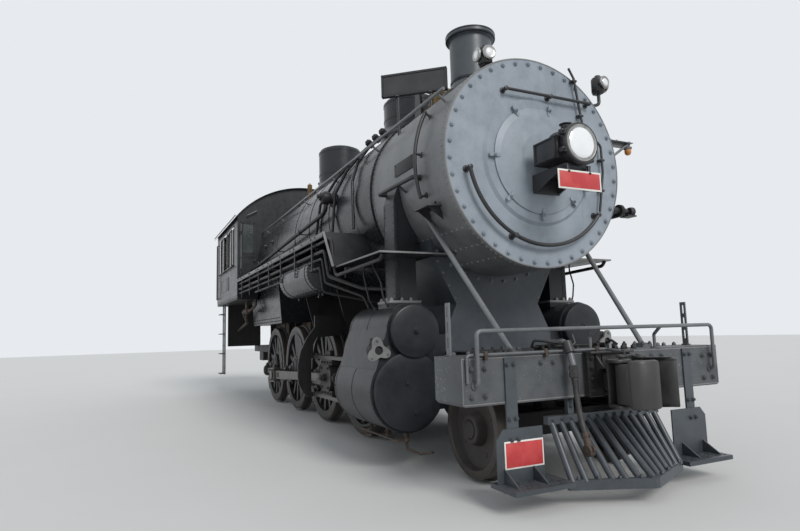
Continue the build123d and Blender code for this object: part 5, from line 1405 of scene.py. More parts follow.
# %% Studs, lugs and the cock's lever on the deck
stud_places = (-1.16, -1.07, -0.98, -0.89, -0.3, -0.21, 0.21, 0.3, 0.42)
deck_work = Work().bolt(grid(0.52, stud_places, beam_top), UP, 0.04, 0.046)
deck_work.bolt(grid(0.62, stud_places, beam_top), UP, 0.04, 0.032)
for y in (-0.56, -0.5, 0.02, 0.1):
    deck_work.plate("500 1087, 640 1087, 610 1150, 530 1150", y - 0.009, y + 0.009, "y")
    deck_work.turned("-14 18, 14 18", (0.57, y, 1.132), LEFT, 14)
deck_work.pipe("570 -620 1132, 570 160 1132", 0.011)
deck_work.pipe("570 -640 1132, 600 -640 1190, 690 -470 1165", 0.01, 0.03)
deck_work.pipe("570 130 1132, 660 130 1170, 720 130 1135", 0.01, 0.03)
deck_work.keep("deck_studs_and_lever", frame_paint)

# %% [markdown]
# The cut lever lies along the beam in two eye brackets. A short chain hangs from its arm to the lock pin on
# top of the coupler. The chain is drawn link by link, each a small ring turned a quarter from the one before.

# %% Cut lever brackets and chain
lever = Work()
for y in (-1.18, -0.62, -0.1):
    lever.block((beam_face, y - 0.012, 1.06), (0.735, y + 0.012, 1.126), 0.003)
    lever.turned("-16 20, 16 20", (0.716, y, 1.101), LEFT, 16)
lever.block((0.895, -0.01, 1.055), (0.918, 0.01, 1.098), 0.003)
for link in range(3):
    centre, across = Vector((0.912, 0.0, 1.068 - link * 0.016)), Vector(LEFT if link % 2 else AHEAD)
    lever.pipe([centre + across * (0.009 * cos(t)) + Vector(UP) * (0.013 * sin(t))
                for t in [2 * pi * i / 16 for i in range(17)]], 0.0032, 0.0, 8)
lever.keep("cut_lever_fittings", rusty_iron)

# %% [markdown]
# The casting that the coupler comes out of is bolted to the beam through its flanges. The head itself has
# the lock pin's boss on top, a worn guard arm, and the round pin of the knuckle with its cotter.

# %% Striking casting and coupler details
striker = Work().bolt(grid(0.758, (-0.205, 0.205), (0.775, 0.87, 0.96, 1.04)), AHEAD, 0.034, 0.022)
striker.block((0.698, -0.235, 1.068), (0.8, 0.235, 1.086), 0.005)
for y in (-0.16, 0.16):
    striker.plate("700 955, 860 955, 760 1070, 700 1070", y - 0.01, y + 0.01, "y")
striker.block((0.756, -0.115, 0.945), (0.875, 0.115, 0.962), 0.005)
striker.keep("striking_casting_bolts", coupler_iron)
head = Work().turned("0 50, 6 52, 20 48, 26 30, 34 26, 36 0", (0.985, 0.085, 1.028), UP, 28)
head.turned("0 32, 4 36, 18 34, 22 0", (1.01, -0.135, 1.044), UP, 28)
head.plate("900 160, 1020 205, 1140 215, 1180 205, 1100 165, 980 120", 1.0295, 1.0365, "z")
head.block((0.915, -0.018, 1.03), (0.955, 0.05, 1.06), 0.006)
head.turned("0 12, 50 12, 52 6", (0.912, 0.0, 1.03), UP, 12)
head.block((0.88, 0.1605, 0.69), (0.94, 0.178, 0.71), 0.003)
head.block((0.88, 0.1805, 0.98), (0.94, 0.198, 1.0), 0.003)
head.keep("coupler_head_details", coupler_iron)

# %% [markdown]
# Coupler head and knuckle are heavy castings with well rounded edges. The plain solids have sharp corners, so
# these two stand in for them here, at the same place and size. Their outlines are those of the plain solids
# with the corners cut twice, and their upper and lower edges are rounded. The knuckle's nose is taller than
# its hub, which fits between the two lugs of the head.

# %% Cast outlines
def cut_corners(points, rounds=2):
    """A softer closed outline: each corner is replaced by two points, again and again."""
    for _ in range(rounds):
        pairs = list(zip(points, points[1:] + points[:1]))
        points = [p for a, b in pairs for p in ((a[0] * 0.78 + b[0] * 0.22, a[1] * 0.78 + b[1] * 0.22),
                                                (a[0] * 0.22 + b[0] * 0.78, a[1] * 0.22 + b[1] * 0.78))]
    return points


def cast_rows(points, low, high, edge):
    """Rows for a casting on a flat outline, whose upper and lower edges are rounded."""
    points = [Vector((x, y, 0)) for x, y in points]
    inward = []
    for before, here, after in zip(points[-1:] + points[:-1], points, points[1:] + points[:1]):
        along = (after - before).normalized()
        inward.append(Vector((-along.y, along.x, 0)))
    return [[p + n * (edge * inset) + Vector((0, 0, z)) for p, n in zip(points, inward)]
            for z, inset in ((low, 1), (low + edge * 0.3, 0.3), (low + edge, 0),
                             (high - edge, 0), (high - edge * 0.3, 0.3), (high, 1))]


# %% Coupler head and knuckle
coupler_z = 0.845
head_cast = Work()
lug = cut_corners(mm("860 -125, 920 -218, 1060 -236, 1078 -172, 1062 -69, 985 -46, 985 60, "
                     "1075 140, 1195 195, 1215 240, 1060 258, 920 200, 860 125"))
body = cut_corners(mm("860 -125, 915 -210, 945 -212, 945 -30, 985 -28, 985 60, 1075 140, "
                      "1195 195, 1215 240, 1060 258, 920 200, 860 125"))
for low, high in ((-0.185, -0.157), (0.157, 0.185)):
    head_cast.rings(cast_rows(lug, coupler_z + low, coupler_z + high, 0.008))
head_cast.rings(cast_rows(body, coupler_z - 0.184, coupler_z + 0.184, 0.012))
head_cast.turned("-195 19, -193 21, 198 21, 200 19", (1.01, -0.135, coupler_z), UP, 32)
head_cast.block((0.3, -0.08, coupler_z - 0.075), (0.88, 0.08, coupler_z + 0.075), 0.01)
for side in (-1, 1):
    head_cast.block((0.6985, side * 0.09, 0.735), (0.758, side * 0.235, 1.068), 0.008)
head_cast.block((0.6985, -0.1, 0.735), (0.758, 0.1, 0.762), 0.006)
head_cast.block((0.6985, -0.1, 0.928), (0.758, 0.1, 1.068), 0.006)
head_object = head_cast.keep("coupler_head_casting", coupler_iron)
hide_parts("coupler_head")

knuckle_cast = Work()
hub = cut_corners(mm("955 -125, 985 -188, 1040 -222, 1155 -216, 1235 -160, 1248 -45, "
                     "1228 25, 1175 30, 1158 -55, 1118 -102, 1040 -70, 970 -70"))
bore = [(1.01 + 0.0225 * cos(t), -0.135 - 0.0225 * sin(t)) for t in (2 * pi * i / 32 for i in range(32))]
knuckle_cast.rings(cast_rows(hub, coupler_z - 0.15, coupler_z + 0.15, 0.012), False)
knuckle_cast.rings([[Vector((x, y, z)) for x, y in bore] for z in (coupler_z - 0.15, coupler_z + 0.15)],
    False)
for z in (coupler_z - 0.15, coupler_z + 0.15):
    rim = [e for e in knuckle_cast.mesh.edges if e.is_boundary
        and all(abs(v.co.z - z) < 1e-5 for v in e.verts)]
    bmesh.ops.triangle_fill(knuckle_cast.mesh, edges=rim, use_beauty=True)
nose = cut_corners(mm("1130 -212, 1165 -214, 1232 -165, 1247 -45, 1229 24, 1176 28, 1160 -55, 1130 -90"))
knuckle_cast.rings(cast_rows(nose, coupler_z - 0.18, coupler_z + 0.18, 0.022))
knuckle_object = knuckle_cast.keep("coupler_knuckle_casting", coupler_iron, "coupler_knuckle")
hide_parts("coupler_knuckle")

# %% [markdown]
# The air pipe turns over the edge of the beam. A six-sided union joins it to the hose, and the angle cock
# above that has a short handle. The hose is clamped over the union's tail.

# %% Union, angle cock and clamp
top = Vector(hose_route[0])
heading = (Vector(hose_route[1]) - top).normalized()
union = Work().turned("-100 30, -98 36, -62 36, -60 30", top, heading, 6)
union.turned("-55 26, -52 40, -8 40, -4 30", top, heading, 6)
for profile in ("-4 26.5, 18 26.5, 20 24", "22 23.5, 23 26.5, 32 26.5, 33 23.5",
    "40 23.5, 41 26.5, 50 26.5, 51 23.5"):
    union.turned(profile, top, heading, 24)
cock = Vector((0.752, -0.42, 1.128))
union.turned("-50 30, -45 38, 45 38, 50 30", cock, Vector((0.4, 0, -0.92)), 20)
union.pipe((cock, cock + Vector((0.015, 0.055, 0.03)), cock + Vector((-0.02, 0.06, 0.1))), 0.01, 0.02)
union.keep("air_pipe_union_and_cock", coupler_iron, slot="rusty_iron")

# %% [markdown]
# The pilot is a slanted grid of bars that keeps things off the rails. Bolts hold its top bar, its legs
# and the casting at its foot. The steps beside it are plates on a hanger, with a raised tread on the
# board and a plain red enamel plate on the right.

# %% Pilot and step bolts, step treads
pilot_work = Work().bolt(grid(0.655, (-0.35, 0.35), (0.66, 0.7)), AHEAD, 0.028, 0.018)
bar_places = tuple((-0.57 + index * 0.095) * 0.97 for index in range(13))
pilot_work.bolt(grid(0.675, bar_places, 0.565), AHEAD, 0.026, 0.016)
for share in (0.15, 0.4, 0.65, 0.88):
    y = 0.02 + 0.58 * share
    pilot_work.bolt(grid(0.868 + 0.27 * (1 - share), (-y, y), 0.165), UP, 0.028, 0.018)
pilot_work.block((1.085, -0.05, 0.165), (1.145, 0.05, 0.172), 0.002)
pilot_work.keep("pilot_bolts", pilot_paint)
step_work = Work().bolt(grid(0.726, (-0.99, -0.93, 0.93, 0.99), 0.47), AHEAD, 0.03, 0.02)
step_work.bolt(grid(0.714, (-0.99, -0.93, 0.93, 0.99), (0.62, 1.02)), AHEAD, 0.03, 0.02)
for y in (-1.06, -0.8, 0.8, 1.06):
    step_work.plate("726 165, 900 165, 726 270", y - 0.006, y + 0.006, "y")
for row, step in product(range(5), range(10)):
    x, y = 0.7 + row * 0.05, 0.64 + step * 0.05 + (row % 2) * 0.025
    if y > 1.115 or x < 0.73 and 0.69 < y:
        continue
    a, b = (0.014, 0.004) if (row + step) % 2 else (0.004, 0.014)
    for place in (-y, y):
        step_work.block((x - a, place - b, 0.1645), (x + a, place + b, 0.1685), 0.001)
step_work.block((0.888, -1.12, 0.128), (0.8895, -0.61, 0.167), 0.0005)
step_work.keep("pilot_step_bolts_and_tread", pilot_paint)
bordered_plate("step_plate", 0.7262, (-1.058, -0.702), (0.262, 0.462), "engine", 0.012)

# %% [markdown]
# The cab is a box of thin sheet on an angle-iron frame. Sliding sashes of wood fill its windows, with an arm
# rest on each sill. The sashes stand just inside the openings, partly open as the crew leaves them, and
# each has its own pane of glass.

# %% Sashes, panes and arm rests
sashes, glazing, rests = Work(), Work(), Work()
rail, inside = 0.04, 0.036
for x0, x1, y in mm("-9430 -8960 -1470, -8960 -8480 -1442, -10620 -10050 -1470, -10180 -9620 -1442"):
    for a0, a1, b0, b1 in strips(x0, x1, 2.842, 3.728, rail, rail):
        sashes.block((a0, y - 0.012, b0), (a1, y + 0.012, b1), 0.004)
    glazing.block((x0 + inside, y - 0.002, 2.842 + inside), (x1 - inside, y + 0.002, 3.728 - inside), 0.0005)
for front, back in ((-8.5, -9.41), (-9.49, -10.6)):
    rests.block((back, -1.545, 2.828), (front, -1.44, 2.85), 0.006)
    for x0, x1, z0 in ((back - 0.022, back, 2.82), (front, front + 0.022, 2.82),
        (back - 0.022, front + 0.022, 3.72)):
        rests.block((x0, -1.506, z0), (x1, -1.499, 3.742), 0.001)
sashes.keep("cab_window_sashes", wood, both=True)
glazing.keep("cab_window_glass", pane, both=True)
rests.keep("cab_sills_and_window_frames", cab_paint, both=True)
for side, sign in SIDES:
    door_glass = Work().block((-8.036, sign * 1.162, 3.062), (-8.032, sign * 1.388, 3.708), 0.0005)
    door_glass.keep(side + "_cab_door_glass", pane, side + "_cab_door")
    door_work = Work()
    for y0, y1, z0, z1 in (*strips(1.15, 1.4, 3.05, 3.72, 0.018, 0.02), (1.145, 1.395, 2.55, 2.57),
                           (1.145, 1.395, 2.98, 3.0)):
        door_work.block((-8.0245, sign * y0, z0), (-8.019, sign * y1, z1), 0.001)
    door_work.turned("0 20, 10 18, 12 10, 40 10, 44 20, 60 16, 64 0", (-8.024, sign * 1.15, 2.9), AHEAD, 18)
    door_work.keep(side + "_cab_door_trim", cab_paint, side + "_cab_door")

# %% [markdown]
# Rows of rivets show where the cab's frame is behind the sheet. A gutter runs along each eave, and a
# plain panel with a raised edge lies below the windows. Handrails stand at the corners by the steps.

# %% Cab rivets, gutters, handrails and blank panels
along_cab = tuple(-8.08 - step * 0.0805 for step in range(37))
up_cab = tuple(2.2 + step * 0.084 for step in range(20))
up_front = tuple(2.2 + step * 0.104 for step in range(16))
cab_rivets = Work().rivet(grid(along_cab, -1.4995, (2.16, 2.79, 3.78)), RIGHT, 0.008, 0.005)
cab_rivets.rivet(grid((-8.075, -9.45, -10.975), -1.4995, up_cab), RIGHT, 0.008, 0.005)
cab_rivets.rivet(grid(-8.0505, (-1.47, -1.1), up_front), AHEAD, 0.008, 0.005)
cab_rivets.keep("cab_rivets", cab_paint, both=True)
cab_trim = Work().pipe("-7975 -1560 3862, -11145 -1560 3862", 0.011, 0.0, 10)
cab_trim.block((-10.35, -1.5035, 2.36), (-9.15, -1.4995, 2.66), 0.001)
for x0, x1, z0, z1 in strips(-10.35, -9.15, 2.36, 2.66, 0.014, 0.014):
    cab_trim.block((x0, -1.5065, z0), (x1, -1.503, z1), 0.001)
cab_trim.keep("cab_gutters_and_blank_panels", cab_paint, both=True)
cab_rails = Work().pipe("-10680 -1495 2260, -10680 -1555 2260, -10680 -1555 3600, -10680 -1495 3600", 0.015,
    0.03)
cab_rails.pipe("-11020 -1495 2260, -11020 -1510 2260, -11020 -1510 3600, -11020 -1495 3600", 0.015, 0.03)
cab_rails.pipe("-8040 -1300 3860, -7980 -1300 3880, -7980 -1100 3990, -8040 -1100 3980", 0.012, 0.03)
cab_rails.keep("cab_handrails", rail_paint, both=True)

# %% [markdown]
# The roof is carried by bent angles under the sheet, which show from behind, and its seams have flat laps
# on top. The hatch has two grips.

# %% Roof ribs, laps and hatch grips
roof_radius, roof_centre = 1.9754, 2.5946
ribs = Work()
for x in (-8.3, -9.06, -9.95, -10.6, -11.1):
    ribs.strap(x, 0.018, (roof_radius - 0.001, roof_radius - 0.045), 41, 139, 48, roof_centre)
ribs.keep("cab_roof_ribs", cab_paint)
laps = Work()
for x, first, last in ((-8.85, 39.5, 140.5), (-10.3, 39.5, 76.0), (-10.3, 104.0, 140.5)):
    angles = laps.strap(x, 0.022, (roof_radius + 0.0105, roof_radius + 0.007), first, last, 24, roof_centre)
    laps.barrel_rivets(angles[1:-1:2], roof_radius + 0.01, x, 0.007, 0.004, z=roof_centre)
laps.keep("cab_roof_laps", cab_paint)


def hatch_top(y):
    return roof_centre + sqrt((roof_radius + 0.029) ** 2 - y * y)


grips = Work()
for y in (-0.22, 0.22):
    z = hatch_top(y)
    grips.pipe(((-9.42, y, z), (-9.42, y, z + 0.045), (-9.58, y, z + 0.045), (-9.58, y, z)), 0.009, 0.02)
for y in (-0.33 + step * 0.06 for step in range(12)):
    grips.rivet(grid((-9.14, -9.86), y, hatch_top(y)), (0, y / 2, 1), 0.006, 0.004)
grips.keep("roof_hatch_grips", cab_paint, "roof_hatch")

# %% [markdown]
# Inside, the boiler's back wall carries everything that the crew works with: gauges with pale faces and
# plain marks, the water glasses, the throttle on a long lever, the brake stand, injector wheels, and
# pipes between them.

# %% Backhead controls
back_x = firebox_back
controls, dials, marks, handles = Work(), Work(), Work(), Work()


def stroke(centre, way, ends, depth):
    """A thin mark on a gauge's face, along a direction, from its (reach, half width) ends."""
    (near, thin), (far, wide) = ends
    marks.rings([[centre - Vector((d, 0, 0)) + way * reach + way.cross(Vector(AHEAD)) * across
        for reach, across in
                  ((near, -thin), (far, -wide), (far, wide), (near, thin))] for d in (0.0, depth)])


for y, z, radius in mm("0 3620 110, -420 3500 85, -620 3360 70, 420 3500 85, 640 3340 60"):
    centre = Vector((back_x, y, z))
    controls.turned(((0, radius * 0.8), (0.02, radius), (0.055, radius), (0.06, radius * 0.93),
        (0.05, radius * 0.9)),
                    centre, BACK, 36)
    dials.turned(((0.05, radius * 0.92), (0.052, 0.0)), centre, BACK, 36)
    for angle in [radians(225 - 27 * step) for step in range(11)]:
        stroke(centre - Vector((0.0525, 0, 0)), Vector((0, -cos(angle), sin(angle))),
               ((radius * 0.68, 0.0015), (radius * 0.84, 0.0015)), 0.0006)
    stroke(centre - Vector((0.054, 0, 0)), Vector((0, 0.55, 0.83)),
        ((-radius * 0.2, 0.003), (radius * 0.78, 0.0008)),
           0.001)
for y in (-0.3, 0.3):
    controls.turned("0 30, 50 26, 90 26, 100 18", grid(back_x, y, (3.02, 3.34)), BACK, 16)
    controls.turned("-30 22, 30 22", grid(back_x - 0.075, y, (3.02, 3.34)), UP, 16)
    dials.turned("3050 10, 3310 10", (back_x - 0.075, y, 0), UP, 12)
for y, z in mm("-700 3050, -740 2860, 720 3050, 760 2820, -520 3140, 540 3120"):
    controls.pipe(((back_x, y, z), (back_x - 0.13, y, z)), 0.012)
    wheel = circle((back_x - 0.13, y, z), 0.055, 24, close=True)
    handles.pipe(wheel, 0.008, 0.0, 8)
    handles.pipe((wheel[0], wheel[12]), 0.006, 0.0, 8)
    handles.pipe((wheel[6], wheel[18]), 0.006, 0.0, 8)
controls.turned("0 90, 40 85, 45 45, 160 40", (back_x, 0.0, 3.3), BACK, 24)
controls.pipe("-9150 50 3300, -9220 -300 3220, -9300 -780 3020", 0.016, 0.1)
handles.pipe("-9300 -780 3020, -9330 -930 2950", 0.022)
controls.pipe("-9360 -1050 2130, -9360 -1050 2950", 0.032, 0.0, 16)
controls.turned("2950 50, 2970 75, 3080 75, 3100 50, 3130 30", (back_x - 0.36, -1.05, 0), UP, 24)
handles.pipe("-9360 -1050 3120, -9440 -980 3140, -9520 -900 3130", 0.011, 0.03)
controls.pipe("-9100 -1250 2130, -9200 -1250 3100", 0.02)
handles.lump((back_x - 0.2, -1.25, 3.12), 0.03)
for y, z, end in mm("-420 3400 -180, 420 3400 180, -620 3400 -60, 0 3520 60"):
    controls.pipe(((back_x - 0.03, y, z), (back_x - 0.03, y * 0.8, 3.72), (back_x - 0.03, end, 3.8),
                   (back_x + 0.04, end, 4.04)), 0.008, 0.04, 8)
for y in (-0.66, 0.66):
    controls.pipe(((back_x - 0.05, y, 2.16), (back_x - 0.05, y, 2.7), (back_x - 0.06, y * 1.1, 2.86)), 0.022,
        0.05)
    controls.turned("0 50, 100 45, 120 30, 200 30, 210 45, 260 40", (back_x - 0.05, y, 2.3), UP, 20)
controls.keep("backhead_valves_and_pipes", frame_paint, slot="boiler_black")
dials.keep("backhead_gauge_faces", dial)
marks.keep("backhead_gauge_marks", panel)
handles.keep("backhead_handles", leather)
stays = Work()
for row, column in product(range(6), range(-4, 5)):
    y, z = column * 0.19, 2.28 + row * 0.2
    if abs(y) < 0.32 and abs(z - 2.56) < 0.28 or y * y + (z - boiler_z) ** 2 > 0.95 and z > boiler_z:
        continue
    stays.rivet((back_x - 0.0005, y, z), BACK, 0.013, 0.009)
stays.keep("backhead_stay_ends", jacket_paint)
door_work = Work()
for z in (2.43, 2.69):
    door_work.block((back_x - 0.07, -0.2, z - 0.014), (back_x - 0.06, 0.2, z + 0.014), 0.002)
door_work.turned("0 90, 8 85, 10 30", (back_x - 0.06, 0.0, 2.56), BACK, 28)
door_work.pipe("-9060 -190 2500, -9110 -190 2500, -9110 -190 2620, -9060 -190 2620", 0.01, 0.02)
door_work.keep("fire_door_details", rusty_iron, "fire_door", slot="boiler_black")

# %% [markdown]
# A seat is a wooden box with a padded top and a padded rest. The pads are crowned: they are highest in the
# middle and pull in at the edges, where the leather is tacked down.

# %% Seats
def pad(work, low, high, rise, axis):
    """A crowned pad on the box between two corners, swollen along one axis."""
    low, high = Vector(low), Vector(high)
    a, b = [i for i in range(3) if i != axis]
    rows, count = [], 12
    for i in range(count + 1):
        row = []
        for j in range(count + 1):
            u, v = i / count, j / count
            point = Vector((0, 0, 0))
            point[a], point[b] = low[a] + (high[a] - low[a]) * u, low[b] + (high[b] - low[b]) * v
            swell = (1 - abs(2 * u - 1) ** 5) * (1 - abs(2 * v - 1) ** 5)
            tuck = 0.25 * rise * sum(exp(-((u - p) ** 2 + (v - q) ** 2) / 0.004) for p in (0.3, 0.7)
                for q in (0.3, 0.7))
            point[axis] = low[axis] + (high[axis] - low[axis]) * (0.15 + 0.85 * swell) - tuck
            row.append(work.mesh.verts.new(point))
        rows.append(row)
    for i in range(count):
        for j in range(count):
            work.mesh.faces.new((rows[i][j], rows[i + 1][j], rows[i + 1][j + 1], rows[i][j + 1]))
    edge = [rows[i][0] for i in range(count + 1)] + [rows[count][j] for j in range(1, count + 1)] + \
        [rows[i][count] for i in range(count - 1, -1, -1)] + [rows[0][j] for j in range(count - 1, 0, -1)]
    base = []
    for vert in edge:
        point = vert.co.copy()
        point[axis] = low[axis]
        base.append(work.mesh.verts.new(point))
    for k in range(len(edge)):
        work.mesh.faces.new((edge[k], edge[(k + 1) % len(edge)], base[(k + 1) % len(edge)], base[k]))
    work.mesh.faces.new(base)


for side, sign in SIDES:
    boxes, cushion, rest = Work(), Work(), Work()
    boxes.block((-10.42, sign * 1.03, 2.131), (-9.94, sign * 1.46, 2.62), 0.01)
    boxes.block((-10.48, sign * 1.05, 2.6), (-10.44, sign * 1.44, 3.1), 0.008)
    pad(cushion, (-10.42, min(sign * 1.03, sign * 1.46), 2.62), (-9.93, max(sign * 1.03, sign * 1.46), 2.72),
        0.06, 2)
    pad(rest, (-10.44, min(sign * 1.07, sign * 1.42), 2.76), (-10.37, max(sign * 1.07, sign * 1.42), 3.08),
        0.05, 0)
    boxes.keep(side + "_seat_box", wood)
    for padding, name in ((cushion, "_seat_cushion"), (rest, "_seat_back")):
        padding.keep(side + name, leather)

# %% [markdown]
# The cab floor is planked, and the sides of the cab are lined with boards below the windows. Planks are
# thin blocks with a gap of a few millimetres between them.

# %% Floor planks and lining
planks = Work()
for step in range(15):
    y = -1.44 + step * 0.193
    planks.block((-10.985, y, 2.1295), (-9.03, y + 0.187, 2.136), 0.002)
for side in (-1, 1):
    for step in range(4):
        planks.block((-10.96, side * 1.492, 2.18 + step * 0.155), (-8.1, side * 1.484, 2.33 + step * 0.155),
            0.002)
planks.keep("cab_floor_planks", wood)

# %% [markdown]
# Low down behind the wheels is the plain side of the engine. Bands and nuts hold the leaves of the
# springs, and beams between the wheels share out their load. It follows the usual practice for such an
# engine.

# %% Springs, equalising beams and pedestal bolts
spring_work = Work()
for x, y in product(driver_places, (-0.548, 0.548)):
    spring_work.block((x - 0.058, y - 0.066, 1.16), (x + 0.058, y + 0.066, 1.24), 0.006)
    spring_work.bolt(grid((x - 0.395, x + 0.395), y, 1.262), UP, 0.036, 0.028)
    for end in (x - 0.395, x + 0.395):
        spring_work.block((end - 0.028, y - 0.06, 1.238), (end + 0.028, y + 0.06, 1.262), 0.004)
    for leaf in range(8):
        reach, z = 0.431 - (7 - leaf) * 0.048, 1.145 + leaf * 0.013
        spring_work.block((x - reach, y - 0.0445, z + 0.0115), (x + reach, y + 0.0445, z + 0.0135), 0.0003)
spring_work.keep("spring_bands_and_nuts", wheel_iron, slot="frame_black")
beams = Work()
for _, sign in SIDES:
    out, outer = (0, sign, 0), sign * 0.64
    for before, after in zip(driver_places, driver_places[1:]):
        x = (before + after) / 2
        beams.plate([(x + a, b) for a, b in mm("-420 945, 420 945, 420 985, 80 1045, -80 1045, -420 985")],
                    sign * 0.611, outer, "y")
        beams.bolt(grid((x - 0.385, x + 0.385), outer, 0.965), out, 0.034, 0.02)
        beams.bolt((x, outer, 1.0), out, 0.06, 0.03)
    for x in driver_places:
        beams.bolt(grid((x - 0.215, x + 0.215), sign * 0.61, (0.385, 0.52)), out, 0.03, 0.02)
beams.keep("equalising_beams", frame_paint)

# %% [markdown]
# Brake cylinders hang between the frames behind the second cross tie, and a bar joins their rods. Each
# brake hanger has a bolt at its top and one at its foot.

# %% Brake cylinders and hanger bolts
brakes = Work()
for y in (-0.27, 0.27):
    brakes.turned("0 50, 10 160, 30 165, 300 165, 310 185, 335 185, 340 100, 370 40", (-5.06, y, 0.72), BACK,
        36)
    brakes.block((-5.2, y - 0.05, 0.86), (-5.11, y + 0.05, 0.99), 0.006)
    brakes.pipe(grid((-5.4, -5.52), y, 0.72), 0.022)
brakes.block((-5.54, -0.3, 0.7), (-5.5, 0.3, 0.74), 0.006)
brakes.pipe("-5110 -270 900, -5110 270 900", 0.016)
hanger_places = tuple(x - 0.68 for x in driver_places)
for _, sign in SIDES:
    brakes.bolt(grid(hanger_places, sign * 0.652, 0.29), (0, sign, 0), 0.04, 0.028)
    brakes.bolt(grid(hanger_places, sign * 0.652, 0.99), (0, sign, 0), 0.036, 0.024)
brakes.keep("brake_cylinders_and_bolts", frame_paint)

# %% [markdown]
# Under the cab, on each side, an injector pushes water into the boiler. It is a short body with three
# pipes. The steps have a raised tread and stiffening edges.

# %% Injectors and cab steps
injectors = Work()
injectors.turned("0 40, 20 65, 100 70, 140 50, 260 50, 300 70, 360 66, 380 40", (-8.86, -1.18, 1.86), AHEAD,
    24)
injectors.pipe("-8670 -1180 1900, -8670 -1180 2085", 0.024)
injectors.pipe("-8490 -1180 1860, -8300 -1180 1860, -8100 -1100 1950, -8080 -1100 2490", 0.026, 0.07)
injectors.pipe("-8860 -1180 1860, -9150 -1180 1860, -9350 -1050 1620, -10550 -1050 1450", 0.032, 0.1)
injectors.pipe("-8750 -1180 1800, -8750 -1180 1620", 0.018)
injectors.block((-8.8, -1.2, 1.925), (-8.72, -1.16, 2.085), 0.005)
injectors.block((-10.6, -1.09, 1.39), (-10.535, -1.01, 1.51), 0.004)
injectors.keep("injectors_and_pipes", rusty_iron, both=True)
cab_steps = Work().bolt(grid((-10.7, -10.43), -1.392, (0.55, 1.1, 1.7, 2.02)), RIGHT, 0.02, 0.012)
for z in (0.43, 0.91, 1.39, 1.87):
    for row, step in product(range(2), range(6)):
        x, y = -10.715 + step * 0.06, -1.415 - row * 0.045
        cab_steps.block((x - 0.014, y - 0.004, z - 0.0005), (x + 0.014, y + 0.004, z + 0.003), 0.001)
    cab_steps.block((-10.75, -1.5035, z - 0.021), (-10.38, -1.499, z + 0.001), 0.001)
for x in (-10.755, -10.385):
    cab_steps.block((x, -1.4, 0.41), (x + 0.01, -1.378, 2.075), 0.002)
cab_steps.block((-10.75, -1.392, 2.07), (-10.38, -1.3, 2.081), 0.002)
cab_steps.keep("cab_step_treads", pilot_paint, both=True)

# %% [markdown]
# The tail beam takes the drawbar. Wear plates with bolt heads stand each side of its pocket, and there
# are two eyes for safety chains. The ash pan has slides at its bottom and riveted straps on its sides.

# %% Tail beam plates, eyes and ash pan slides
tail = Work().turned("0 75, 10 72, 14 52, 40 50", (-10.5, 0, 1.08), UP, 28)
tail.bolt(grid(-10.712, (-0.33, -0.2, 0.2, 0.33), (0.81, 0.95)), BACK, 0.028, 0.018)
for _, sign in SIDES:
    tail.block((-10.712, sign * 0.17, 0.78), (-10.7, sign * 0.36, 0.98), 0.003)
    tail.pipe(circle((-10.735, sign * 0.43, 0.88), 0.035, 24, close=True), 0.011, 0.0, 10)
    tail.block((-10.728, sign * 0.43 - 0.02, 0.915), (-10.7, sign * 0.43 + 0.02, 0.945), 0.004)
tail.keep("tail_beam_plates", frame_paint)
slides, pan = (-6.45, -6.95, -8.05, -8.55), Work()
for x in slides:
    pan.block((x - 0.2, -0.302, 0.988), (x + 0.2, 0.302, 1.0), 0.003)
    for _, sign in SIDES:
        pan.block((x - 0.006, sign * 0.468, 1.245), (x + 0.006, sign * 0.476, 1.525), 0.002)
        pan.rivet(grid(x + 0.04, sign * 0.468, (1.27, 1.39, 1.5)), (0, sign, 0), 0.008, 0.005)
pan.keep("ash_pan_slides", rusty_iron)
skirt = Work()
for _, sign in SIDES:
    for front, y, z in mm("-6460 966.5 1575, -6510 970.5 1635"):
        places = tuple(front - step * 0.1 for step in range(26))
        skirt.rivet(grid(places, sign * y, z), (0, sign, 0), 0.012, 0.007)
skirt.keep("firebox_rivets", jacket_paint)

# %% [markdown]
# The engine stands in a plain studio. The floor is a wide pale plane just under the wheel flanges, and the
# sky colour behind it is nearly the same, so nothing competes with the engine. The floor and the world
# show that pale colour to the camera and to reflections, while the light on the engine stays softer.

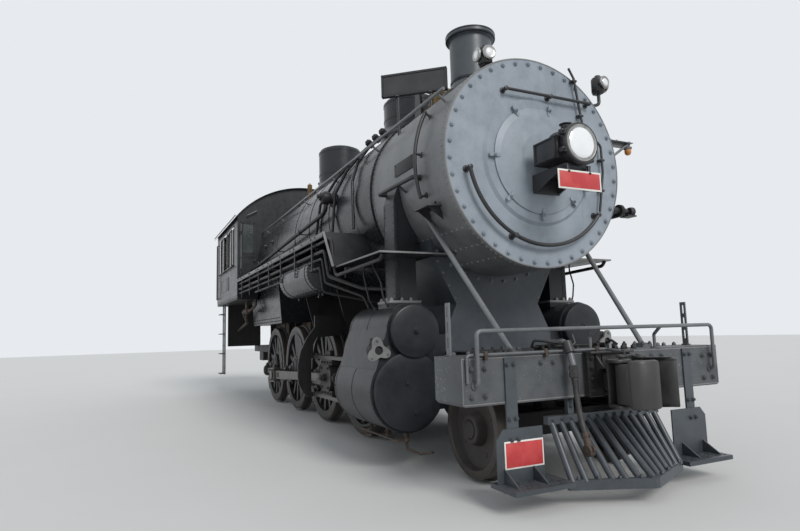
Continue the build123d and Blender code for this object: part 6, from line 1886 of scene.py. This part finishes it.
# %% Floor
floor_mesh = bmesh.new()
bmesh.ops.create_grid(floor_mesh, x_segments=1, y_segments=1, size=60.0)
bmesh.ops.translate(floor_mesh, vec=(0, 0, cad_box[0][2] - 0.001), verts=floor_mesh.verts)
floor_data = bpy.data.meshes.new("studio_floor")
floor_mesh.to_mesh(floor_data)
floor_mesh.free()
floor_finish = Finish("studio_floor", None)
floor_cloud = floor_finish.noise(0.6, 3.0)
floor_finish.shade(Base_Color=floor_finish.mix(floor_cloud, (0.62, 0.62, 0.61), (0.66, 0.66, 0.65)),
                   Roughness=0.75 + floor_cloud * 0.1)
floor_data.materials.append(floor_finish.material)
studio_floor = bpy.data.objects.new("studio_floor", floor_data)
scene.collection.objects.link(studio_floor)
print("floor at", round(cad_box[0][2] - 0.001, 4))

# %% [markdown]
# Daylight under a bright, slightly clouded sky has two parts: a wide soft light from everywhere, and a
# gentler direction from the brightest part of the sky. The world gives the first, and a sun with a wide
# disc gives the second, from high up ahead of the engine.

# %% World and sun
scene.view_settings.view_transform = "Standard"
world = bpy.data.worlds.new("studio_world")
scene.world = world
world.use_nodes = True
world.node_tree.nodes.clear()
sky = Nodes(world.node_tree)
shown = sky.add("LightPath", output="Is Camera Ray")
rays = shown.socket.node.outputs
for other in ("Is Glossy Ray", "Is Transmission Ray"):
    shown = shown.sum("MAXIMUM", shown, Wire(sky, rays[other]))
lighting = sky.add("Background", None, {"Color": (0.9, 0.95, 1.0, 1.0), "Strength": 0.62})
seen = sky.add("Background", None, {"Color": (0.8, 0.83, 0.86, 1.0), "Strength": 1.0})
blend = sky.add("MixShader", None, {0: shown, 1: lighting, 2: seen})
sky.add("OutputWorld", None, {"Surface": blend}, output=None)

sun_data = bpy.data.lights.new("daylight", "SUN")
sun_data.energy = 1.9
sun_data.angle = radians(24)
sun_data.color = (1.0, 0.98, 0.95)
daylight = bpy.data.objects.new("daylight", sun_data)
scene.collection.objects.link(daylight)
daylight.rotation_euler = Vector((0.82, 0.06, 0.6)).to_track_quat("Z", "Y").to_euler()
print("sun of", sun_data.energy, "W per square metre")
